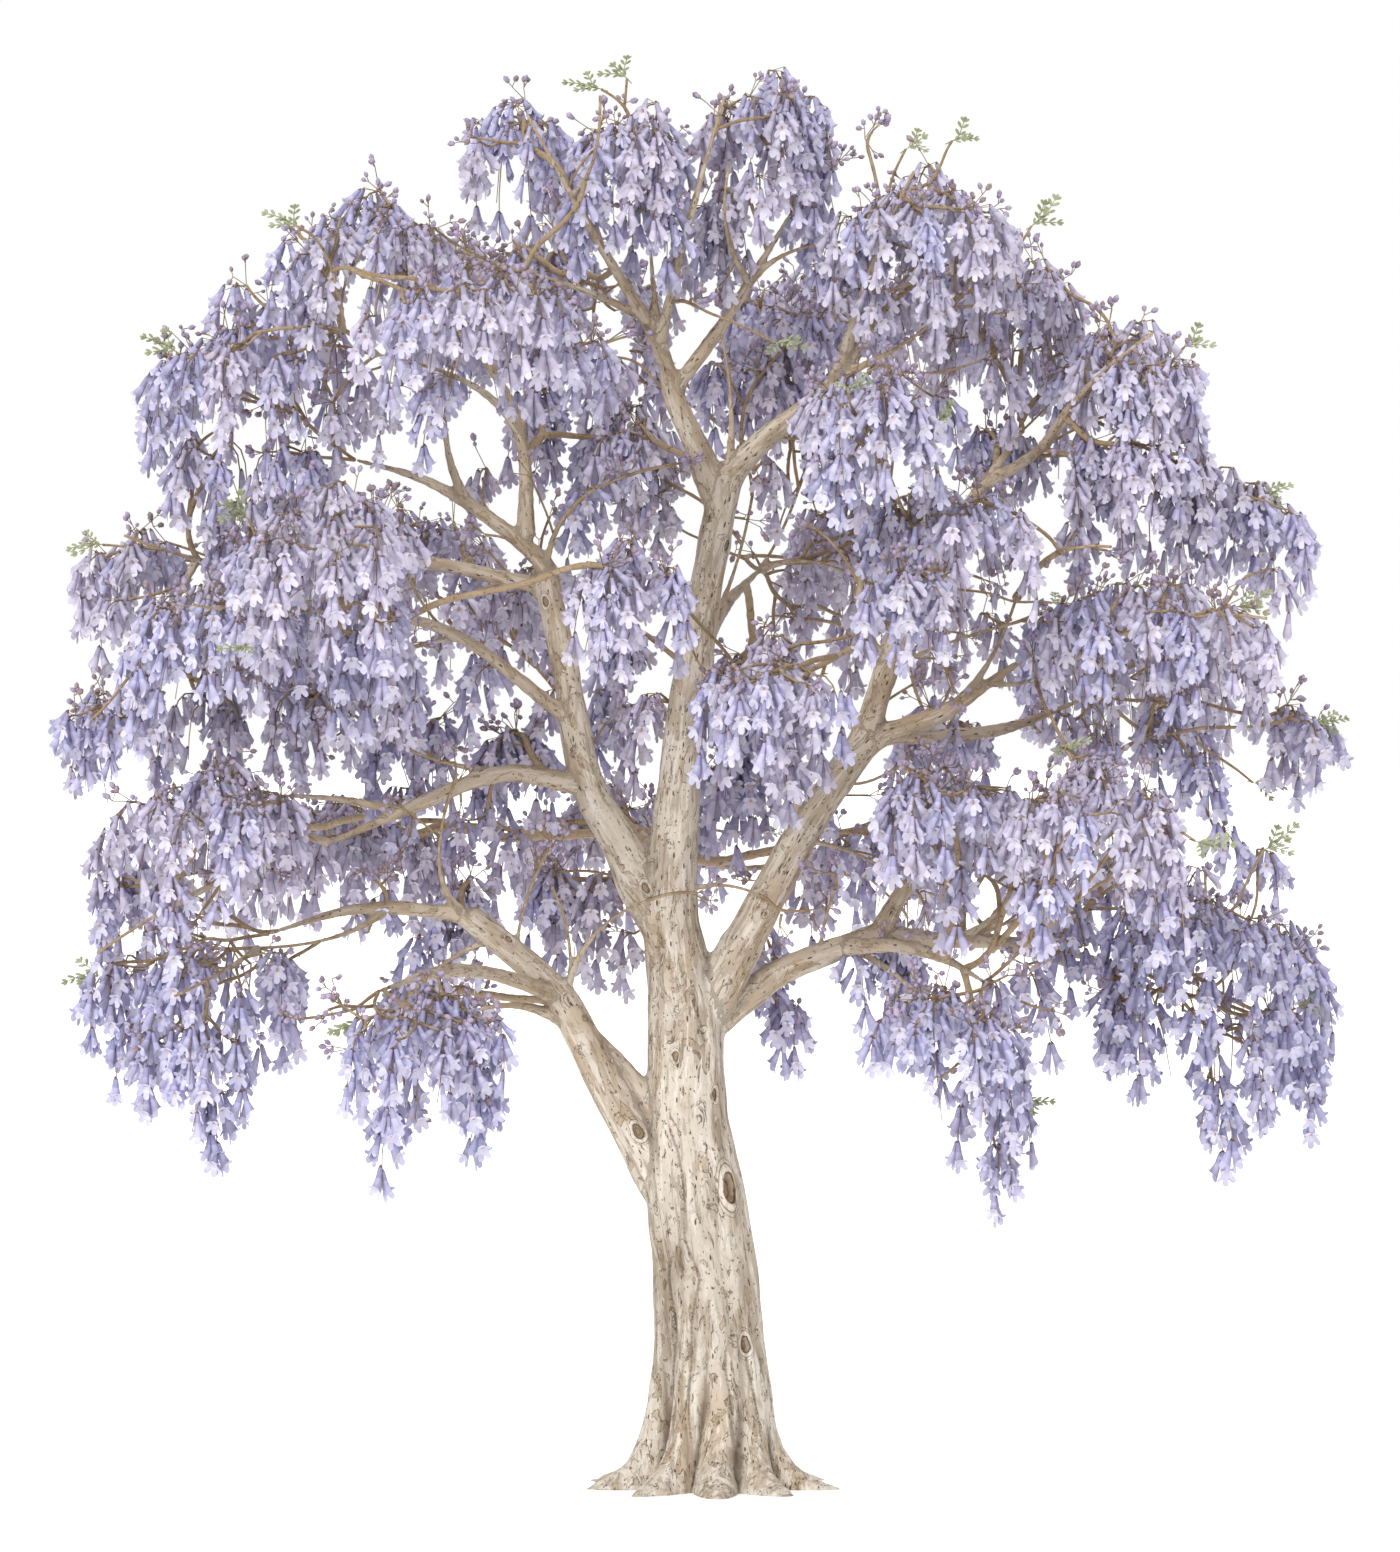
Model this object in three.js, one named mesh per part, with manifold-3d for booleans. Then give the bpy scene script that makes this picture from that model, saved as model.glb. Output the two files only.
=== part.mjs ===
// A mature jacaranda in full flower, about ten metres tall and nine metres across, standing
// on level ground. A pale, fluted trunk leans a little to one side and forks again and again
// into open, curving boughs, and the boughs carry hanging masses of blossom.
//
// Millimetres, +Z up, X to the right, Y towards the back. The origin is the middle of the flat
// cut under the trunk. Bearings are turned about Z: 0 is right, 90 back, 180 left, 270 front.

import * as THREE from 'three';
import { mergeVertices } from 'three/addons/utils/BufferGeometryUtils.js';
import Module from 'manifold-3d';

const wasm = await Module();
wasm.setup();

// ---------------------------------------------------------------- driving dimensions

const JOINT_GAP = 0.5; // clear space where one limb grows out of another
const MASS_GROWTH = 1.002; // a mass is cut round its neighbour swollen by this factor

const TRUNK_SIDES = 21;
const LIMB_SIDES = 8;
const LIMB_STEP = 330; // longest stretch between two rings of a limb
const LIMB_TAPER = 0.8; // power of the length by which a limb thins
const SPINE_STEPS = 60; // short stretches that a limb's centre line is laid in
const CRUMB = 1e5; // cubic millimetres: anything smaller that a cut leaves isn't a limb

const ROOT_LOBES = 7;
const ROOT_REACH = 420; // how far a root lobe stands out of the trunk at the ground
const ROOT_RISE = 210; // height over which a lobe falls to a third of its reach
const ROOT_TURN = 0.35; // radians the first lobe is turned from due right
const ROOT_SKIRT = 0.16; // share of the reach that stands out between two lobes

const MASS_SIDES = 10;
const MASS_RINGS = 5;
const SKIRT_RAGGED = 0.3; // how much higher the skirt hangs between two lobes, of its height
const FOOT_HOLLOW = 0.86; // how far down the middle of a mass's underside is, of its height
const ROUGH = 0.22; // how unevenly a mass bulges, of its breadth
const FOLD = 0.09; // how far a mass's lobes stand out, of its breadth
const FINE_FOLD = 0.05; // and the smaller folds between them
const FULLNESS = 0.93; // breadth of a mass at its widest ring, of the breadth that is stated
const GIRTH_DEPTH = 0.45; // how far down a mass its middle is, of its height
const LEAN = 0.06; // how much further out the foot of a mass hangs than its top

// The trunk's centre line and radius: height, shift to the right, shift to the back, radius.
const TRUNK_STATIONS = [
  [0, 0, 0, 400],
  [650, -5, 0, 388],
  [1300, -40, 0, 366],
  [1950, -110, 0, 350],
  [2600, -170, 20, 305],
  [3300, -190, 40, 265],
  [4000, -300, 50, 198],
  [4600, -270, 30, 166],
  [5300, -200, 10, 145],
  [6200, -70, 0, 118],
  [7050, 100, 0, 110],
];

// Heights of the rings that the trunk is skinned over.
const TRUNK_LEVELS = [0, 90, 200, 360, 600, 1000, 1500, 2000, 2600, 3300, 4000, 4700, 5500, 6300, 7050];

// Every bough is one tapering limb. along: distance from the foot of its parent to where it
// leaves it. bearing: at its foot and at its tip. rises: its slope in degrees over equal
// stretches of its length. radius: at its foot and at its tip.
const BOUGHS = [
  { name: 'low_left_bough', parent: 'trunk', along: 1800, length: 2830,
    bearing: [182, 194], rises: [57, 56, 60, 68, 42, 34], radius: [176, 85] },
  { name: 'low_left_arm', parent: 'low_left_bough', along: 2800, length: 1500,
    bearing: [194, 184], rises: [12, 4, -5, -18, -28], radius: [58, 36] },
  { name: 'front_left_arm', parent: 'low_left_bough', along: 1900, length: 2200,
    bearing: [224, 248], rises: [18, 8, -4, -10], radius: [60, 36] },
  { name: 'left_leader', parent: 'trunk', along: 4080, length: 2830,
    bearing: [180, 172], rises: [55, 50, 80, 82, 76, 66], radius: [152, 74] },
  { name: 'sweeping_arm', parent: 'left_leader', along: 950, length: 2350,
    bearing: [192, 204], rises: [28, 6, -18, -29, -13, 9, 9], radius: [76, 36] },
  { name: 'left_middle_arm', parent: 'left_leader', along: 1480, length: 2650,
    bearing: [210, 236], rises: [34, 34, 16, 4, -2], radius: [54, 30] },
  { name: 'left_high_arm', parent: 'left_leader', along: 2450, length: 2500,
    bearing: [164, 172], rises: [14, 12, 4, -12, 6, 10], radius: [60, 30] },
  { name: 'left_crown_arm', parent: 'left_leader', along: 2790, length: 1350,
    bearing: [172, 180], rises: [36, 34, 24, 8], radius: [58, 36] },
  { name: 'left_riser', parent: 'left_leader', along: 2790, length: 1800,
    bearing: [186, 214], rises: [92, 88, 72, 50, 30], radius: [54, 32] },
  { name: 'crown_left', parent: 'trunk', along: 7100, length: 1950,
    bearing: [185, 172], rises: [50, 56, 88, 56, 50, 38], radius: [92, 42] },
  { name: 'crown_upright', parent: 'crown_left', along: 700, length: 1650,
    bearing: [4, 340], rises: [58, 50, 64, 34, 30], radius: [56, 32] },
  { name: 'crown_right', parent: 'trunk', along: 7100, length: 1950,
    bearing: [0, 342], rises: [52, 34, 36, 55, 76, 62], radius: [92, 42] },
  { name: 'right_bough', parent: 'trunk', along: 3180, length: 2480,
    bearing: [354, 346], rises: [57, 60, 62, 62, 55, 54], radius: [158, 104] },
  { name: 'right_riser', parent: 'right_bough', along: 2440, length: 3350,
    bearing: [20, 4], rises: [74, 76, 58, 57, 64, 50, 36, 52, 56], radius: [88, 36] },
  { name: 'right_arm', parent: 'right_bough', along: 2440, length: 1850,
    bearing: [350, 338], rises: [14, 24, 42, 22, 20], radius: [76, 40] },
  { name: 'right_back_arm', parent: 'right_bough', along: 2400, length: 1850,
    bearing: [20, 36], rises: [8, -2, 6, 18, 20], radius: [62, 36] },
  { name: 'front_right_riser', parent: 'right_bough', along: 2400, length: 1550,
    bearing: [304, 288], rises: [56, 46, 34], radius: [66, 38] },
  { name: 'low_right_bough', parent: 'trunk', along: 3000, length: 1700,
    bearing: [8, 14], rises: [42, 50, 34, 14, 22], radius: [122, 78] },
  { name: 'low_right_arm', parent: 'low_right_bough', along: 1660, length: 2100,
    bearing: [8, 346], rises: [-10, 0, 0, -10, -13, -8, 14], radius: [64, 38] },
  { name: 'front_right_arm', parent: 'low_right_bough', along: 1400, length: 2350,
    bearing: [306, 284], rises: [4, -4, -10, -16], radius: [56, 32] },
  { name: 'low_back_bough', parent: 'trunk', along: 3350, length: 2800,
    bearing: [94, 104], rises: [46, 34, 18, 8], radius: [112, 50] },
  { name: 'high_back_bough', parent: 'trunk', along: 5000, length: 2800,
    bearing: [82, 62], rises: [56, 42, 24, 14], radius: [92, 40] },
];

// Every mass hangs from its top. at: its middle, right and back. top and foot: its heights.
// wide, deep: its breadth left to right and front to back.
const MASSES = [
  // the crown's top
  { name: 'blossom_top_spire', at: [420, 0], top: 10040, foot: 8350, wide: 1150, deep: 1600 },
  { name: 'blossom_top_middle', at: [-600, -400], top: 9780, foot: 8150, wide: 1200, deep: 1500 },
  { name: 'blossom_top_left', at: [-1460, 350], top: 9850, foot: 8400, wide: 1100, deep: 1700 },
  { name: 'blossom_top_right', at: [1500, -500], top: 9330, foot: 7500, wide: 1500, deep: 1900 },
  { name: 'blossom_upper_left', at: [-2420, -300], top: 9200, foot: 7400, wide: 1500, deep: 2000 },
  { name: 'blossom_upper_right', at: [2080, 900], top: 8950, foot: 7100, wide: 1500, deep: 2000 },
  { name: 'blossom_front_upper_left', at: [-1700, -2200], top: 8650, foot: 7100, wide: 1600, deep: 1900 },
  { name: 'blossom_front_upper_right', at: [1080, -2000], top: 7950, foot: 6500, wide: 1200, deep: 1700 },
  { name: 'blossom_back_upper_left', at: [-1250, 2200], top: 9000, foot: 6850, wide: 2300, deep: 2300 },
  { name: 'blossom_back_upper_right', at: [1000, 2500], top: 8900, foot: 6900, wide: 2300, deep: 2300 },
  // the shoulders
  { name: 'blossom_high_left', at: [-3150, 100], top: 8400, foot: 6550, wide: 1900, deep: 2400 },
  { name: 'blossom_high_left_tip', at: [-4050, 450], top: 6850, foot: 5750, wide: 1000, deep: 1500 },
  { name: 'blossom_high_right', at: [2980, 0], top: 8350, foot: 6150, wide: 1450, deep: 2300 },
  { name: 'blossom_high_right_tip', at: [3880, 400], top: 7150, foot: 6000, wide: 900, deep: 1400 },
  { name: 'blossom_inner_right', at: [1700, -1500], top: 7100, foot: 5750, wide: 1500, deep: 1600 },
  // the middle of the crown
  { name: 'blossom_centre_left', at: [-620, -1500], top: 6750, foot: 5300, wide: 1100, deep: 1200 },
  { name: 'blossom_centre_right', at: [430, -1450], top: 6150, foot: 4550, wide: 1400, deep: 1300 },
  { name: 'blossom_front_left', at: [-2550, -2700], top: 7100, foot: 5150, wide: 1700, deep: 2000 },
  { name: 'blossom_middle_left', at: [-3350, -700], top: 6600, foot: 4850, wide: 1800, deep: 2200 },
  { name: 'blossom_middle_left_tip', at: [-4200, 200], top: 5700, foot: 4550, wide: 1000, deep: 1500 },
  { name: 'blossom_lower_left', at: [-3450, -1000], top: 5250, foot: 3400, wide: 1600, deep: 2000 },
  { name: 'blossom_back_middle_left', at: [-2050, 2900], top: 7000, foot: 4850, wide: 2400, deep: 2300 },
  { name: 'blossom_back_middle_right', at: [950, 3100], top: 7100, foot: 4900, wide: 2400, deep: 2300 },
  { name: 'blossom_middle_right', at: [3080, -800], top: 6550, foot: 4850, wide: 2000, deep: 2200 },
  { name: 'blossom_back_right', at: [3000, 1800], top: 6400, foot: 4350, wide: 2000, deep: 2200 },
  { name: 'blossom_middle_right_tip', at: [4080, 200], top: 5650, foot: 4600, wide: 800, deep: 1300 },
  { name: 'blossom_lower_inner_right', at: [1650, -1000], top: 5250, foot: 3850, wide: 1250, deep: 1400 },
  { name: 'blossom_front_right', at: [2650, -2400], top: 5300, foot: 3350, wide: 1700, deep: 2000 },
  // the skirt
  { name: 'blossom_low_left', at: [-3450, -500], top: 4100, foot: 2350, wide: 1400, deep: 2000 },
  { name: 'blossom_low_left_tip', at: [-4080, 550], top: 4650, foot: 2800, wide: 950, deep: 1600 },
  { name: 'blossom_front_low_left', at: [-1900, -2500], top: 3740, foot: 2300, wide: 1300, deep: 1500 },
  { name: 'blossom_low_right', at: [3380, -400], top: 4450, foot: 2250, wide: 1750, deep: 2000 },
  { name: 'blossom_low_right_tip', at: [4050, 600], top: 4100, foot: 2450, wide: 800, deep: 1500 },
  { name: 'blossom_front_low_right', at: [1560, -2450], top: 3800, foot: 2120, wide: 1350, deep: 1500 },
  { name: 'blossom_back_low_left', at: [-2750, 2500], top: 4950, foot: 3150, wide: 2100, deep: 2100 },
  { name: 'blossom_back_low_middle', at: [-750, 3100], top: 5000, foot: 3450, wide: 1900, deep: 1800 },
  { name: 'blossom_back_low_right', at: [1700, 2900], top: 4950, foot: 3050, wide: 2300, deep: 2100 },
];

const BARK_COLOUR = 0xd2c3ab;
const BLOSSOM_COLOURS = [0xa9a4d4, 0x9b97cf, 0xb7afd6];

// ---------------------------------------------------------------- solids

const radians = (degrees) => (degrees * Math.PI) / 180;
const mix = (a, b, t) => a + (b - a) * t;

// A repeatable number from 0 to 1 for a whole number.
function chance(n) {
  const s = Math.sin(n * 127.1 + 311.7) * 43758.5453;
  return s - Math.floor(s);
}

// A closed skin over rings of equal count, with a point or a flat cut at either end.
function skin(rings, lowEnd, highEnd) {
  const count = rings[0].length;
  const points = [...rings.flat(), lowEnd, highEnd];
  const low = rings.length * count;
  const high = low + 1;
  const faces = [];
  for (let i = 0; i < count; i++) {
    const j = (i + 1) % count;
    faces.push(low, j, i);
    faces.push(high, (rings.length - 1) * count + i, (rings.length - 1) * count + j);
    for (let k = 0; k + 1 < rings.length; k++) {
      const a = k * count;
      const b = a + count;
      faces.push(a + i, a + j, b + j, a + i, b + j, b + i);
    }
  }
  const geometry = new THREE.BufferGeometry();
  geometry.setAttribute('position', new THREE.Float32BufferAttribute(points.flatMap((p) => p.toArray()), 3));
  geometry.setIndex(faces);
  return geometry;
}

function solid(geometry) {
  const merged = mergeVertices(geometry, 1e-4);
  const mesh = new wasm.Mesh({
    numProp: 3,
    vertProperties: Float32Array.from(merged.attributes.position.array),
    triVerts: Uint32Array.from(merged.index.array),
  });
  return new wasm.Manifold(mesh);
}

// The largest body of a cut solid, because a cut can leave crumbs.
function largest(cutSolid) {
  const bodies = cutSolid.decompose();
  return bodies.reduce((a, b) => (b.volume() > a.volume() ? b : a));
}

// The body that holds the foot of a limb: the one with the corner nearest to it.
function footBody(cutSolid, foot) {
  const distance = (body) => {
    const { vertProperties } = body.getMesh();
    let best = Infinity;
    for (let i = 0; i < vertProperties.length; i += 3) {
      best = Math.min(best, foot.distanceTo(new THREE.Vector3().fromArray(vertProperties, i)));
    }
    return best;
  };
  const bodies = cutSolid.decompose().filter((body) => body.volume() > CRUMB);
  return bodies.reduce((a, b) => (distance(b) < distance(a) ? b : a));
}

function geometryOf(cutSolid) {
  const { vertProperties, triVerts } = cutSolid.getMesh();
  const geometry = new THREE.BufferGeometry();
  geometry.setAttribute('position', new THREE.Float32BufferAttribute(vertProperties, 3));
  geometry.setIndex([...triVerts]);
  geometry.computeVertexNormals();
  return geometry;
}

function touches(a, b) {
  const boxA = a.boundingBox();
  const boxB = b.boundingBox();
  return [0, 1, 2].every((k) => boxA.min[k] < boxB.max[k] && boxB.min[k] < boxA.max[k]);
}

// ---------------------------------------------------------------- trunk

// How far the root lobes push the bark out at a bearing and a height.
function rootFlare(angle, height) {
  const ridge = (0.5 + 0.5 * Math.cos(ROOT_LOBES * (angle - ROOT_TURN))) ** 1.5;
  return ROOT_REACH * mix(ROOT_SKIRT, 1, ridge) * Math.exp(-height / ROOT_RISE);
}

function trunkSpine() {
  const points = TRUNK_STATIONS.map(([height, right, back]) => new THREE.Vector3(right, back, height));
  return new THREE.CatmullRomCurve3(points, false, 'centripetal');
}

function trunkRadius(height) {
  const next = Math.max(1, TRUNK_STATIONS.findIndex(([level]) => level >= height));
  const [low, high] = [TRUNK_STATIONS[next - 1], TRUNK_STATIONS[next]];
  return mix(low[3], high[3], (height - low[0]) / (high[0] - low[0]));
}

function trunkSolid(growth) {
  const spine = trunkSpine();
  const rings = [];
  for (const level of TRUNK_LEVELS) {
    const centre = pointAtHeight(spine, level);
    const height = level === TRUNK_LEVELS.at(-1) ? level + growth : level;
    const ring = [];
    for (let i = 0; i < TRUNK_SIDES; i++) {
      const angle = ROOT_TURN + (2 * Math.PI * i) / TRUNK_SIDES;
      const radius = trunkRadius(level) + rootFlare(angle, level) + growth;
      ring.push(new THREE.Vector3(
        centre.x + radius * Math.cos(angle), centre.y + radius * Math.sin(angle), height));
    }
    rings.push(ring);
  }
  const top = pointAtHeight(spine, TRUNK_LEVELS.at(-1));
  top.z += growth;
  return solid(skin(rings, pointAtHeight(spine, 0), top));
}

function pointAtHeight(curve, height) {
  let low = 0;
  let high = 1;
  for (let i = 0; i < 40; i++) {
    const middle = (low + high) / 2;
    if (curve.getPoint(middle).z < height) low = middle;
    else high = middle;
  }
  const point = curve.getPoint((low + high) / 2);
  point.z = height;
  return point;
}

// ---------------------------------------------------------------- boughs

// A limb's slope part of the way along it, eased from one stretch to the next.
function riseAt(rises, t) {
  const place = Math.min(Math.max(t * rises.length - 0.5, 0), rises.length - 1);
  const k = Math.min(Math.floor(place), rises.length - 2);
  return mix(rises[k], rises[k + 1], place - k);
}

function limbSpine(bough, foot) {
  const points = [foot.clone()];
  for (let i = 0; i < SPINE_STEPS; i++) {
    const t = (i + 0.5) / SPINE_STEPS;
    const rise = radians(riseAt(bough.rises, t));
    const bearing = radians(mix(bough.bearing[0], turnedNear(bough.bearing[1], bough.bearing[0]), t));
    const heading = new THREE.Vector3(
      Math.cos(bearing) * Math.cos(rise), Math.sin(bearing) * Math.cos(rise), Math.sin(rise));
    points.push(points.at(-1).clone().addScaledVector(heading, bough.length / SPINE_STEPS));
  }
  return new THREE.CatmullRomCurve3(points, false, 'centripetal');
}

// The same bearing, brought within half a turn of another one.
function turnedNear(bearing, other) {
  return bearing - 360 * Math.round((bearing - other) / 360);
}

function limbSolid(bough, spine, growth) {
  const stretches = Math.ceil(bough.length / LIMB_STEP);
  const rings = [];
  const side = new THREE.Vector3();
  for (let k = 0; k <= stretches; k++) {
    const t = k / stretches;
    const centre = spine.getPointAt(t);
    const heading = spine.getTangentAt(t);
    if (k === 0) side.set(-heading.y, heading.x, 0);
    side.addScaledVector(heading, -side.dot(heading)).normalize();
    const over = new THREE.Vector3().crossVectors(heading, side);
    const radius = mix(bough.radius[0], bough.radius[1], t ** LIMB_TAPER) + growth;
    if (k === 0) centre.addScaledVector(heading, -growth);
    if (k === stretches) centre.addScaledVector(heading, growth);
    const ring = [];
    for (let i = 0; i < LIMB_SIDES; i++) {
      const angle = (2 * Math.PI * i) / LIMB_SIDES;
      ring.push(centre.clone()
        .addScaledVector(side, radius * Math.cos(angle))
        .addScaledVector(over, radius * Math.sin(angle)));
    }
    rings.push(ring);
  }
  const [low, high] = [rings[0], rings.at(-1)].map((ring) => (
    ring.reduce((sum, point) => sum.add(point), new THREE.Vector3()).divideScalar(ring.length)));
  return solid(skin(rings, low, high));
}

// ---------------------------------------------------------------- masses of blossom

// A hanging mass: a dome on top, widest above its middle, drawn in towards a ragged skirt that
// hangs lowest under its lobes. Its foot hangs a little further out than its top.
function massSolid(mass, order, growth) {
  const lobes = 3 + Math.floor(chance(order) * 3);
  const phase = 2 * Math.PI * chance(order + 50);
  const tall = mass.top - mass.foot;
  const middle = new THREE.Vector3(mass.at[0], mass.at[1], mass.top - GIRTH_DEPTH * tall);
  const place = (depth, angle, spread) => {
    const wave = Math.sin(lobes * angle + phase);
    const fold = 1 + FOLD * wave + FINE_FOLD * Math.sin((lobes + 3) * angle - phase + 4 * depth);
    const drop = depth * (1 - SKIRT_RAGGED * (0.5 - 0.5 * wave) * depth * Math.sign(spread));
    const sway = LEAN * (depth - 0.4);
    const rough = spread * (1 + ROUGH * (chance(order * 131 + depth * 17 + angle * 29) - 0.5));
    const point = new THREE.Vector3(
      mass.at[0] * (1 + sway) + 0.5 * mass.wide * rough * fold * Math.cos(angle),
      mass.at[1] * (1 + sway) + 0.5 * mass.deep * rough * fold * Math.sin(angle),
      mass.top - tall * drop);
    return point.sub(middle).multiplyScalar(growth).add(middle);
  };
  const rings = [];
  for (let k = MASS_RINGS; k >= 1; k--) {
    const depth = (k / MASS_RINGS) ** 0.9;
    const spread = FULLNESS * Math.sin(Math.PI * (0.9 * depth) ** 0.72) ** 0.62;
    const ring = [];
    for (let i = 0; i < MASS_SIDES; i++) {
      ring.push(place(depth, (2 * Math.PI * i) / MASS_SIDES, spread));
    }
    rings.push(ring);
  }
  return solid(skin(rings, place(FOOT_HOLLOW, 0, 0), place(0, 0, 0)));
}

// ---------------------------------------------------------------- assembly

const tree = new THREE.Group();

function addPiece(name, cutSolid, colour) {
  const material = new THREE.MeshStandardMaterial({ color: colour, roughness: 0.8, metalness: 0 });
  const mesh = new THREE.Mesh(geometryOf(cutSolid), material);
  mesh.name = name;
  tree.add(mesh);
}

// Masses first: each is cut round the ones before it.
const masses = [];
MASSES.forEach((mass, order) => {
  let shape = massSolid(mass, order, 1);
  for (const other of masses) {
    if (touches(shape, other.swollen)) shape = largest(shape.subtract(other.swollen));
  }
  masses.push({ name: mass.name, shape, swollen: massSolid(mass, order, MASS_GROWTH) });
});

// Each limb starts on its parent's centre line, is cut flush with the limbs before it, and
// ends where it enters a mass.
const limbs = [{
  name: 'trunk',
  shape: trunkSolid(0),
  swollen: trunkSolid(JOINT_GAP),
  spine: trunkSpine(),
  length: trunkSpine().getLength(),
}];
for (const bough of BOUGHS) {
  const parent = limbs.find((limb) => limb.name === bough.parent);
  const foot = parent.spine.getPointAt(Math.min(bough.along / parent.length, 1));
  const spine = limbSpine(bough, foot);
  let shape = limbSolid(bough, spine, 0);
  for (const other of limbs) {
    if (touches(shape, other.swollen)) shape = shape.subtract(other.swollen);
  }
  for (const mass of masses) {
    if (touches(shape, mass.swollen)) shape = shape.subtract(mass.swollen);
  }
  const swollen = limbSolid(bough, spine, JOINT_GAP);
  limbs.push({ name: bough.name, shape: footBody(shape, foot), swollen, spine, length: bough.length });
}

for (const limb of limbs) addPiece(limb.name, limb.shape, BARK_COLOUR);
masses.forEach((mass, order) => {
  addPiece(mass.name, mass.shape, BLOSSOM_COLOURS[order % BLOSSOM_COLOURS.length]);
});

export default tree;
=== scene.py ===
# A jacaranda in full flower: a pale fluted trunk, forking boughs, twigs, hanging blossom,
# buds and a few young leaves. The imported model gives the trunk, the boughs and the outer
# shape of every mass of blossom. Metres, +Z up, X to the right, Y towards the back.

import heapq
import itertools
import math

import bpy
import numpy as np
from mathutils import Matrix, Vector
from mathutils.bvhtree import BVHTree


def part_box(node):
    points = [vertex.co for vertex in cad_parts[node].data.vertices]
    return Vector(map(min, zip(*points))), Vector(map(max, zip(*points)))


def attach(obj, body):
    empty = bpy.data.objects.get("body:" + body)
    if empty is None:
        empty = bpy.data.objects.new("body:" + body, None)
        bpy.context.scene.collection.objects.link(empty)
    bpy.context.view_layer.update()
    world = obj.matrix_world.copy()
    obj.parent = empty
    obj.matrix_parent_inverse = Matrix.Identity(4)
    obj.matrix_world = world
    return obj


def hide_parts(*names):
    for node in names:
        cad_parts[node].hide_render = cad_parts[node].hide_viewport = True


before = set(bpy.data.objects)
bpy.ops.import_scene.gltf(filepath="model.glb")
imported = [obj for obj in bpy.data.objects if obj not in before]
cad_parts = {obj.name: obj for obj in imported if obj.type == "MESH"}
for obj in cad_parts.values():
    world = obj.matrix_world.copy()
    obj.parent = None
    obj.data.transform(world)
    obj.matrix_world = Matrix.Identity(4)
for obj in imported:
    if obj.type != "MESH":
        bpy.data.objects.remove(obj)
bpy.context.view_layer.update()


# ---- Camera ---------------------------------------------------------------------------
# A long lens far away and a little above the middle of the crown, so that near and far boughs
# keep their proportions and the root lobes in front sit just below those at the sides.

CAMERA_DISTANCE = 60.0
CAMERA_RISE = math.radians(1.0)
CAMERA_SIGHT = 400.0
FRAMED_HEIGHT = 10.86
FRAMED_MIDDLE = Vector((-0.09, 0.0, 4.98))

camera = bpy.data.objects.new("camera", bpy.data.cameras.new("camera"))
camera.data.lens = camera.data.sensor_width * CAMERA_DISTANCE / FRAMED_HEIGHT
camera.data.clip_end = CAMERA_SIGHT
towards_camera = Vector((0.0, -math.cos(CAMERA_RISE), math.sin(CAMERA_RISE)))
camera.location = FRAMED_MIDDLE + CAMERA_DISTANCE * towards_camera
camera.rotation_euler = towards_camera.to_track_quat("Z", "Y").to_euler()
bpy.context.scene.collection.objects.link(camera)
bpy.context.scene.camera = camera


# ---- Light and ground -----------------------------------------------------------------
# A white studio: a white surround that lights less from the two sides, so that limbs round off
# towards their edges, two broad soft lamps, and a plain pale floor that fades into it.

SURROUND_LIGHT = 1.16
SIDE_SHADE = 0.92
LAMPS = {  # power, softness, and where it stands
    "key_lamp": (1.35, math.radians(18.0), Vector((-0.55, -0.90, 0.65))),
    "back_lamp": (0.90, math.radians(30.0), Vector((0.50, 0.90, 0.60))),
}
FLOOR_HALF = 300.0
FLOOR_GLOW = 0.30
FLOOR_SHADES = ((247, 247, 247), (250, 250, 250))
WHITE = (255, 255, 255)


class Value:
    """One output of a shader node, so that it can be added and multiplied as a number."""

    def __init__(self, tree, output):
        self.tree = tree
        self.output = output

    def maths(self, operation, *values):
        inputs = dict(enumerate(values))
        return add_node(self.tree, "ShaderNodeMath", {"operation": operation}, inputs)

    def __add__(self, other):
        return self.maths("ADD", self, other)

    def __sub__(self, other):
        return self.maths("SUBTRACT", self, other)

    def __mul__(self, other):
        return self.maths("MULTIPLY", self, other)

    def __radd__(self, other):
        return self.maths("ADD", other, self)

    def __rsub__(self, other):
        return self.maths("SUBTRACT", other, self)

    def __rmul__(self, other):
        return self.maths("MULTIPLY", other, self)

    def ramp(self, low, high):
        """0 below the first value, 1 above the second, and eased between them."""
        return add_node(self.tree, "ShaderNodeMapRange", {"interpolation_type": "SMOOTHSTEP"},
                        {"Value": self, "From Min": low, "From Max": high})


def add_node(tree, kind, settings=None, inputs=None, output=0):
    """Adds a shader node: its settings first, then its values and links; gives one output."""
    made = tree.nodes.new(kind)
    for key, value in (settings or {}).items():
        setattr(made, key, value)
    for key, value in (inputs or {}).items():
        if isinstance(value, Value):
            tree.links.new(value.output, made.inputs[key])
        else:
            made.inputs[key].default_value = value
    return Value(tree, made.outputs[output])


def blend(tree, share, first, second):
    """A colour between two others."""
    return add_node(tree, "ShaderNodeMix", {"data_type": "RGBA"},
                    {0: share, 6: first, 7: second}, 2)


def paint(red, green, blue):
    """A colour from its screen values, 0 to 255, as linear numbers."""
    linear = []
    for level in (red, green, blue):
        share = level / 255
        linear.append(share / 12.92 if level < 11 else ((share + 0.055) / 1.055) ** 2.4)
    return (*linear, 1.0)


def new_material(name, roughness, specular):
    """A Principled material: itself, its node tree and its shader."""
    material = bpy.data.materials.new(name)
    material.use_nodes = True
    shader = material.node_tree.nodes["Principled BSDF"]
    shader.inputs["Roughness"].default_value = roughness
    shader.inputs["Specular IOR Level"].default_value = specular
    return material, material.node_tree, shader


def feed(shader, socket, value):
    """Links a value to one of a shader's sockets."""
    value.tree.links.new(value.output, shader.inputs[socket])


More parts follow.
